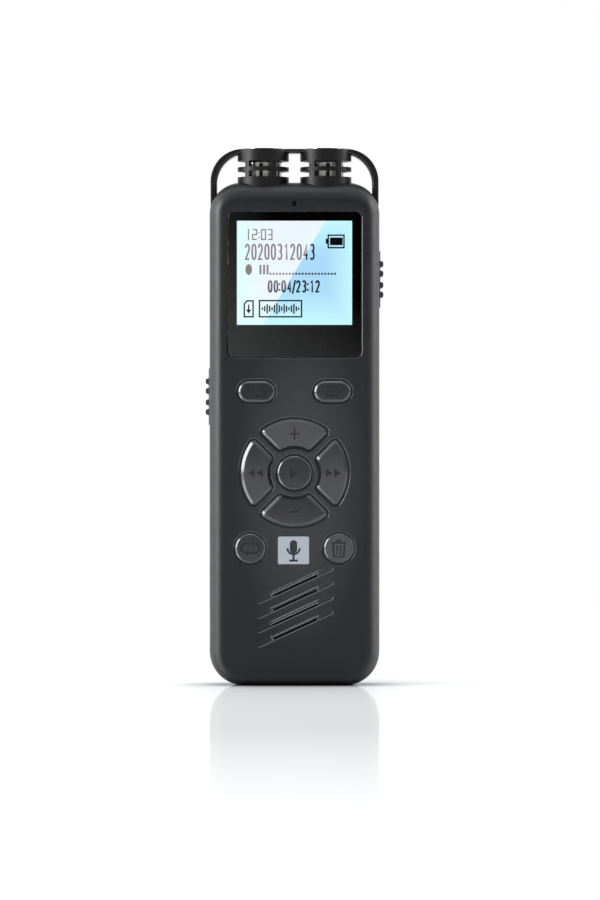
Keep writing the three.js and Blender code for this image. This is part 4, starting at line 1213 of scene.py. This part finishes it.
def sector_ring(inner, outer, z0, z1, start, end):
    """A part of an upright ring between two angles about Z, in degrees."""
    steps = 24
    angles = np.radians(np.linspace(start, end, steps + 1))
    outline = [(outer * math.cos(a), outer * math.sin(a)) for a in angles]
    outline += [(inner * math.cos(a), inner * math.sin(a)) for a in angles[::-1]]
    count = len(outline)
    vertices = [(x, y, z) for z in (z0, z1) for x, y in outline]
    faces = [tuple(reversed(range(count))), tuple(range(count, 2 * count))]
    faces += [(i, (i + 1) % count, (i + 1) % count + count, i + count) for i in range(count)]
    return mesh_object(vertices, faces)


def tower_slots():
    """The openings between a tower's ribs. The ribs stand either side of its front and back."""
    ribs = [-90 - RIB_ANGLE, -90 + RIB_ANGLE, 90 - RIB_ANGLE, 90 + RIB_ANGLE]
    return [sector_ring(TOWER_BORE - 0.4, TOWER_RADIUS + 1, z0, z1, start + RIB_HALF_ANGLE,
                        end - RIB_HALF_ANGLE)
            for z0, z1 in TOWER_ROWS for start, end in zip(ribs, ribs[1:] + [ribs[0] + 360])]


def build_tower(side):
    node = f"{side}_mic_barrel"
    space = Box(node)
    bottom, top, edge = space.low.z, HOOP["top"], 0.3
    profile = [(0, bottom), (TOWER_RADIUS, bottom)]
    profile += [(TOWER_RADIUS - inset, top - depth) for inset, depth in rolled(edge, edge, 5)[::-1]]
    profile.append((0, top))
    tower = lathe(profile, 128)
    cut(tower,
        upright_bar(TOWER_BORE, 0, UPPER_BORE_FOOT, TOWER_ROWS[1][1]),
        upright_bar(TOWER_BORE, 0, bottom - 1, LOWER_BORE_TOP),
        upright_bar(1.4, 0, bottom, 105, 40),
        upright_bar(STEM_HOLE, 0, 107.5, top + 1, 40),
        *tower_slots())
    moved(tower, (space.centre.x, 0, 0), LEFT_TOWER_TURN if side == "left" else 0)
    half = HOOP_DEPTH / 2 + 0.1
    groove = block(-SIDE, SIDE, -half, half, HOOP_INSIDE["top"] - HOOP_INSIDE["radius"], top + 1)
    cut(groove, plate(hoop_arch(HOOP_INSIDE, -0.05, 90), -half - 1, half + 1))
    cut(tower, groove)
    hand_over(tower, f"{side}_tower", mic_plastic, [node])


def build_capsule(side):
    node = f"{side}_mic_capsule"
    space = Box(node)
    low, high, radius = space.low.z, space.high.z, space.size.x / 2
    rim = [(radius - inset, high - depth) for inset, depth in rolled(0.2, 0.2, 4)[::-1]]
    capsule = lathe([(0, low), (radius, low), *rim, (radius - 0.5, high),
                     (radius - 0.5, high - 0.2), (0, high - 0.2)], 72)
    # Grooves down its side, which stop short of both ends.
    half = CAPSULE_GROOVE["width"] / 2
    grooves = []
    for turn in range(0, 360, CAPSULE_GROOVE["step"]):
        groove = block(radius - CAPSULE_GROOVE["depth"], radius + 1, -half, half,
                       low + 0.3, high - 0.3)
        grooves.append(moved(groove, turn=turn + CAPSULE_GROOVE["turn"][side]))
    # The grooves' faces take the black finish, a painted shade inside them.
    finishes = (capsule_metal, black_plastic)
    cut(painted(capsule, finishes), *[painted(groove, finishes, 1) for groove in grooves])
    moved(capsule, (space.centre.x, 0, 0))
    hand_over(capsule, f"{side}_capsule", capsule_metal, [node])


def build_cap(side):
    """A shallow dome on a short wall, with a stem down into the tower."""
    node = f"{side}_mic_cap"
    space = Box(node)
    top, radius = space.high.z, space.size.x / 2
    base, chamfer = HOOP["top"] + 0.05, 0.06
    height = top - base - CAP_WALL
    ball = (radius ** 2 + height ** 2) / (2 * height)
    profile = [(0, base), (radius - chamfer, base), (radius, base + 0.05),
               (radius, base + CAP_WALL)]
    for angle in np.linspace(math.asin(radius / ball), 0, 25)[1:-1]:
        profile.append((ball * math.sin(angle), top - ball * (1 - math.cos(angle))))
    profile.append((0, top))
    cap = lathe(profile, 128)
    join(cap, upright_bar(CAP_STEM, 0, space.low.z, base + 0.2, 32))
    moved(cap, (space.centre.x, 0, 0))
    hand_over(cap, f"{side}_cap", polished, [node])


# ---- side sliders

def build_slider(name, side):
    """Built facing forwards at its own height, and turned about Z to its side."""
    node = f"{name}_slider"
    space = Box(node)
    z, outer, thickness, width = space.centre.z, SIDE + 0.2, 0.9, 4.6
    knob = cushion(growing_box(width, space.size.z, 0.5, 0, z), -outer, -outer + thickness,
                   0.22, 0.2, 5, roundness=1.7)
    # A rib's half height and width at each step from its foot out to its tip.
    steps = ((0.75, 4.0, 0.1), (0.67, 4.0, -0.08), (0.52, 3.8, -RIB_HEIGHT + 0.12),
             (0.33, 3.8, -RIB_HEIGHT))
    for rib in RIB_PLACES:
        rings = [at_depth(rounded_box(across, 2 * half, 0.18, 0, z + rib, 4), -outer + y)
                 for half, across, y in steps]
        join(knob, loft(rings[::-1]))
    stem = cut(block(-0.6, 0.6, -outer + thickness - 0.2, -14.6, z - 1.8, z + 1.8),
               block(-1, 1, -16.2, -13.6, z - 0.7, z + 0.7))
    join(knob, stem)
    moved(knob, turn=90 * side)
    hand_over(knob, f"{name}_thumb_piece", slider_plastic, [node], body=node)


# ---- sockets and light

def build_usb():
    space = Box("usb_socket")
    bottom, top = space.low.z, space.high.z
    width, depth, wall = space.size.x, space.size.y, 0.35
    outline = growing_box(width, depth, 0.75)
    shell = cushion(outline, bottom, top, 0.1, 0.1, 3)
    cut(shell, plate(outline(-wall), bottom - 1, top - 0.8))
    join(shell, plate(rounded_box(width - 2.4, 0.6, 0.12), bottom + 0.8, top - 0.4))
    # Stood on its mouth: the outline's front is down.
    moved(shell, (space.centre.x, space.centre.y, 0), 90, "X")
    hand_over(shell, "charging_socket", steel, ["usb_socket"])


def build_jack():
    """A square body with a round mouth, bored from the right."""
    space = Box("headphone_jack")
    y, z, half = 0.5, space.centre.z, 2.4
    inner, outer, step = space.low.x, space.high.x, 15.7
    body = block(inner, step + 0.15, y - half, y + half, z - half, z + half)
    ring = cushion(growing_disc(half - 0.05), -outer, -step, 0.25, 0.2, 5)
    bore = plate(circle(1.8), -outer - 1, -(inner + 1))
    for round_part in (ring, bore):
        moved(round_part, (0, y, z), 90)
    cut(join(body, ring), bore)
    hand_over(body, "headphone_socket", black_plastic, ["headphone_jack"])


def build_card_socket():
    low, high = Box("card_socket").low, Box("card_socket").high
    body = cut(
        block(low.x, high.x, low.y, high.y, low.z, high.z),
        block(low.x - 1, high.x - 1, low.y + 0.3, high.y - 0.3, low.z + 0.5, high.z - 0.5),
    )
    hand_over(body, "card_reader", steel, ["card_socket"])


def build_light():
    space = Box("light_pipe")
    pipe = cushion(growing_disc(space.size.x / 2, space.centre.x, space.centre.z, 40),
                   space.low.y + LIGHT_DEPTH, space.high.y, 0.2, 0.12, 5)
    hand_over(pipe, "light_lens", black_plastic, ["light_pipe"])


# ---- speaker mesh

def mesh_sheet(y0, y1):
    """A square sheet about the origin, with rows of small eight-sided holes."""
    start = -MESH_CELLS * MESH_PITCH / 2
    vertices, faces, known = [], [], {}

    def corner(i, j, layer):
        """A point on the half-pitch grid, shared by the cells around it."""
        key = (i, j, layer)
        if key not in known:
            known[key] = len(vertices)
            vertices.append((start + i * MESH_PITCH / 2, (y0, y1)[layer],
                             start + j * MESH_PITCH / 2))
        return known[key]

    around = ((2, 1), (2, 2), (1, 2), (0, 2), (0, 1), (0, 0), (1, 0), (2, 0))
    last = MESH_CELLS - 1
    for column in range(MESH_CELLS):
        for row in range(MESH_CELLS):
            x, z = start + (column + 0.5) * MESH_PITCH, start + (row + 0.5) * MESH_PITCH
            rims = []
            for y in (y0, y1):
                rims.append(len(vertices))
                vertices += [(x + MESH_HOLE * math.cos(math.pi * k / 4), y,
                              z + MESH_HOLE * math.sin(math.pi * k / 4)) for k in range(8)]
            for k in range(8):
                n = (k + 1) % 8
                (ai, aj), (bi, bj) = around[k], around[n]
                a = [corner(2 * column + ai, 2 * row + aj, layer) for layer in (0, 1)]
                b = [corner(2 * column + bi, 2 * row + bj, layer) for layer in (0, 1)]
                faces.append((rims[0] + k, a[0], b[0], rims[0] + n))
                faces.append((rims[1] + k, rims[1] + n, b[1], a[1]))
                faces.append((rims[0] + k, rims[0] + n, rims[1] + n, rims[1] + k))
                outside = ((ai == bi == 2 and column == last) or (ai == bi == 0 and column == 0)
                           or (aj == bj == 2 and row == last) or (aj == bj == 0 and row == 0))
                if outside:
                    faces.append((a[0], a[1], b[1], b[0]))
    return mesh_object(vertices, faces)


def build_speaker_mesh():
    """A sheet whose rows of holes run along the slots, and the cloth behind it."""
    space = Box("speaker_mesh")
    y0 = MESH_FRONT + 0.05
    y1 = y0 + MESH_THICKNESS
    sheet = moved(mesh_sheet(y0, y1), (space.centre.x, 0, space.centre.z), -SLOT_ANGLE, "Y")
    outline = space.outline(1)(0)
    combined(sheet, [plate(outline, y0 - 1, y1 + 1)], "INTERSECT")
    # The sound holes: a plain slit behind the lower part of each slot.
    slit = turned(rounded_box(SLIT_LENGTH, SLIT_WIDTH, 0.1, 0, SLIT_DROP), SLOT_ANGLE)
    cut(sheet, *[plate(slit + (0, SLOT_TOP - index * SLOT_PITCH), y0 - 1, y1 + 1)
                 for index in range(SLOT_COUNT)])
    cloth = plate(outline, y1 + CLOTH_GAP, y1 + CLOTH_GAP + CLOTH_THICKNESS)
    hand_over(cloth, "speaker_cloth", cloth_weave)
    hand_over(sheet, "speaker_grille_mesh", mesh_metal, ["speaker_mesh"])


# ---- assembly

build_front_shell()
build_rear_shell()
build_badge()
for screw_node in screw_nodes:
    build_screw(screw_node)
for key_node in KEYS:
    build_key(key_node)
build_window()
build_picture()
build_hoop()
for tower_side in ("left", "right"):
    build_tower(tower_side)
    build_capsule(tower_side)
    build_cap(tower_side)
build_slider("record", -1)
build_slider("power", 1)
build_usb()
build_jack()
build_card_socket()
build_light()
build_speaker_mesh()

# CAD nodes that stay as they are get the finish of their slot.
FINISHES = {
    "casing": casing_plastic, "keys": key_plastic, "window": window_clear,
    "display_panel": display_and_painted_glare, "white_plastic": white_plastic,
    "microphone_plastic": mic_plastic, "hoop_metal": hoop_paint, "polished_metal": polished,
    "steel": steel, "badge": badge_metal, "board": board_mask, "rubber": rubber,
    "black_plastic": black_plastic, "foil": foil, "amber_film": amber_film,
    "red_insulation": red_plastic, "mesh_metal": mesh_metal,
}
for subpart in frame["record"]["subparts"]:
    node_mesh = frame["nodes"][subpart["node"]].data
    node_mesh.materials.clear()
    node_mesh.materials.append(FINISHES[subpart["material_slot"]])


# ---- floor, lights and camera

def floor_material():
    """Pale and a little polished round the object, and plain white further out."""
    graph = new_material("pale_floor")
    graph.tree.nodes.clear()
    place = graph.place()
    away = graph.length(place)
    sideways = graph.calc("ABSOLUTE", graph.split(place)["X"])
    # Paler far away, where the lights reach it less, and beside the object, where its shadows
    # fall: painted light. Darker in the gap under the object's rounded edges: a painted contact shade.
    pale = graph.calc("MAXIMUM", graph.spread(away, 0.66, 0.92, 0.15, 0.7),
                      graph.spread(sideways, 0.66, 0.8, 0.016, 0.03))
    contact = graph.add("AmbientOcclusion", {"Distance": 9 * MM}, samples=16)
    shade = graph.spread(contact.outputs["AO"], 0.35, 1.0, 0.35, 0.95)
    matt = graph.add("BsdfDiffuse", {"Color": graph.calc("MULTIPLY", pale, shade)})
    gloss = graph.add("BsdfAnisotropic", {"Color": (1, 1, 1, 1), "Roughness": 0.07})
    near = graph.mix(graph.spread(away, 0.29, 0.0, 0.17, 0.42), matt, gloss)
    white = graph.add("Emission", {"Color": (1, 1, 1, 1)})
    whole = graph.mix(graph.spread(away, 0, 1, 0.3, 0.6), near, white)
    graph.add("OutputMaterial", {"Surface": whole.outputs[0]})
    return graph.owner


def build_floor():
    reach, drop = 3000.0, 0.03
    floor = mesh_object([(-reach, -reach, 0), (reach, -reach, 0), (reach, reach, 0),
                         (-reach, reach, 0)], [(0, 1, 2, 3)])
    floor.name = "floor"
    floor.data.transform(Matrix.Scale(MM, 4))
    floor.location.z = -drop * MM
    floor.data.materials.append(floor_material())


def build_world():
    """Plain white behind the object, and soft light that is weaker from the front."""
    world = bpy.data.worlds.new("studio")
    bpy.context.scene.world = world
    graph = Graph(world)
    graph.tree.nodes.clear()
    direction = graph.add("TexCoord").outputs["Generated"]
    towards = graph.split(direction)
    level = graph.spread(towards["Y"], WORLD_FRONT, WORLD_BACK, -0.97, 0.6)
    above = graph.spread(towards["Z"], 0, WORLD_TOP, 0.15, 0.9)
    # The veil fades upwards, to the right and away from its middle.
    veil = graph.spread(graph.calc("ADD", towards["X"], towards["Z"]), VEIL, 0, 0.0, 0.0426)
    near = graph.add("VectorMath", {0: direction, 1: VEIL_TOWARDS}, operation="DISTANCE")
    inside = graph.spread(near.outputs["Value"], 1, 0, 0.022, 0.034)
    total = graph.calc("ADD", graph.calc("ADD", level, above),
                       graph.calc("MULTIPLY", veil, inside))
    light = graph.add("Background", {"Color": (0.97, 0.985, 1, 1), "Strength": total})
    white = graph.add("Background", {"Color": (1, 1, 1, 1), "Strength": 1.0})
    seen = graph.add("LightPath").outputs["Is Camera Ray"]
    graph.add("OutputWorld", {"Surface": graph.mix(seen, light, white).outputs[0]})


def placed(name, data, place):
    obj = bpy.data.objects.new(name, data)
    bpy.context.scene.collection.objects.link(obj)
    obj.location = Vector(place) * MM
    return obj


def build_lights():
    for name, (place, aim, width, height, radiance) in LIGHTS.items():
        data = bpy.data.lights.new(name, "AREA")
        data.shape = "RECTANGLE"
        data.size, data.size_y = width * MM, height * MM
        data.energy = radiance * math.pi * data.size * data.size_y
        light = placed(name, data, place)
        light.rotation_euler = (Vector(aim) - Vector(place)).to_track_quat("-Z", "Y").to_euler()
        light.visible_camera = False


def build_camera():
    """Level with the middle of the object, a little to its right, and far enough back for
    upright edges to stay upright."""
    data = bpy.data.cameras.new("camera")
    data.sensor_width = CAMERA_SENSOR
    data.lens = CAMERA_LENS
    data.clip_start, data.clip_end = 0.01, 20
    camera = placed("camera", data, CAMERA_PLACE)
    camera.rotation_euler = (math.pi / 2, 0, 0)
    bpy.context.scene.camera = camera


build_floor()
build_world()
build_lights()
build_camera()
bpy.context.scene.view_settings.view_transform = "Standard"
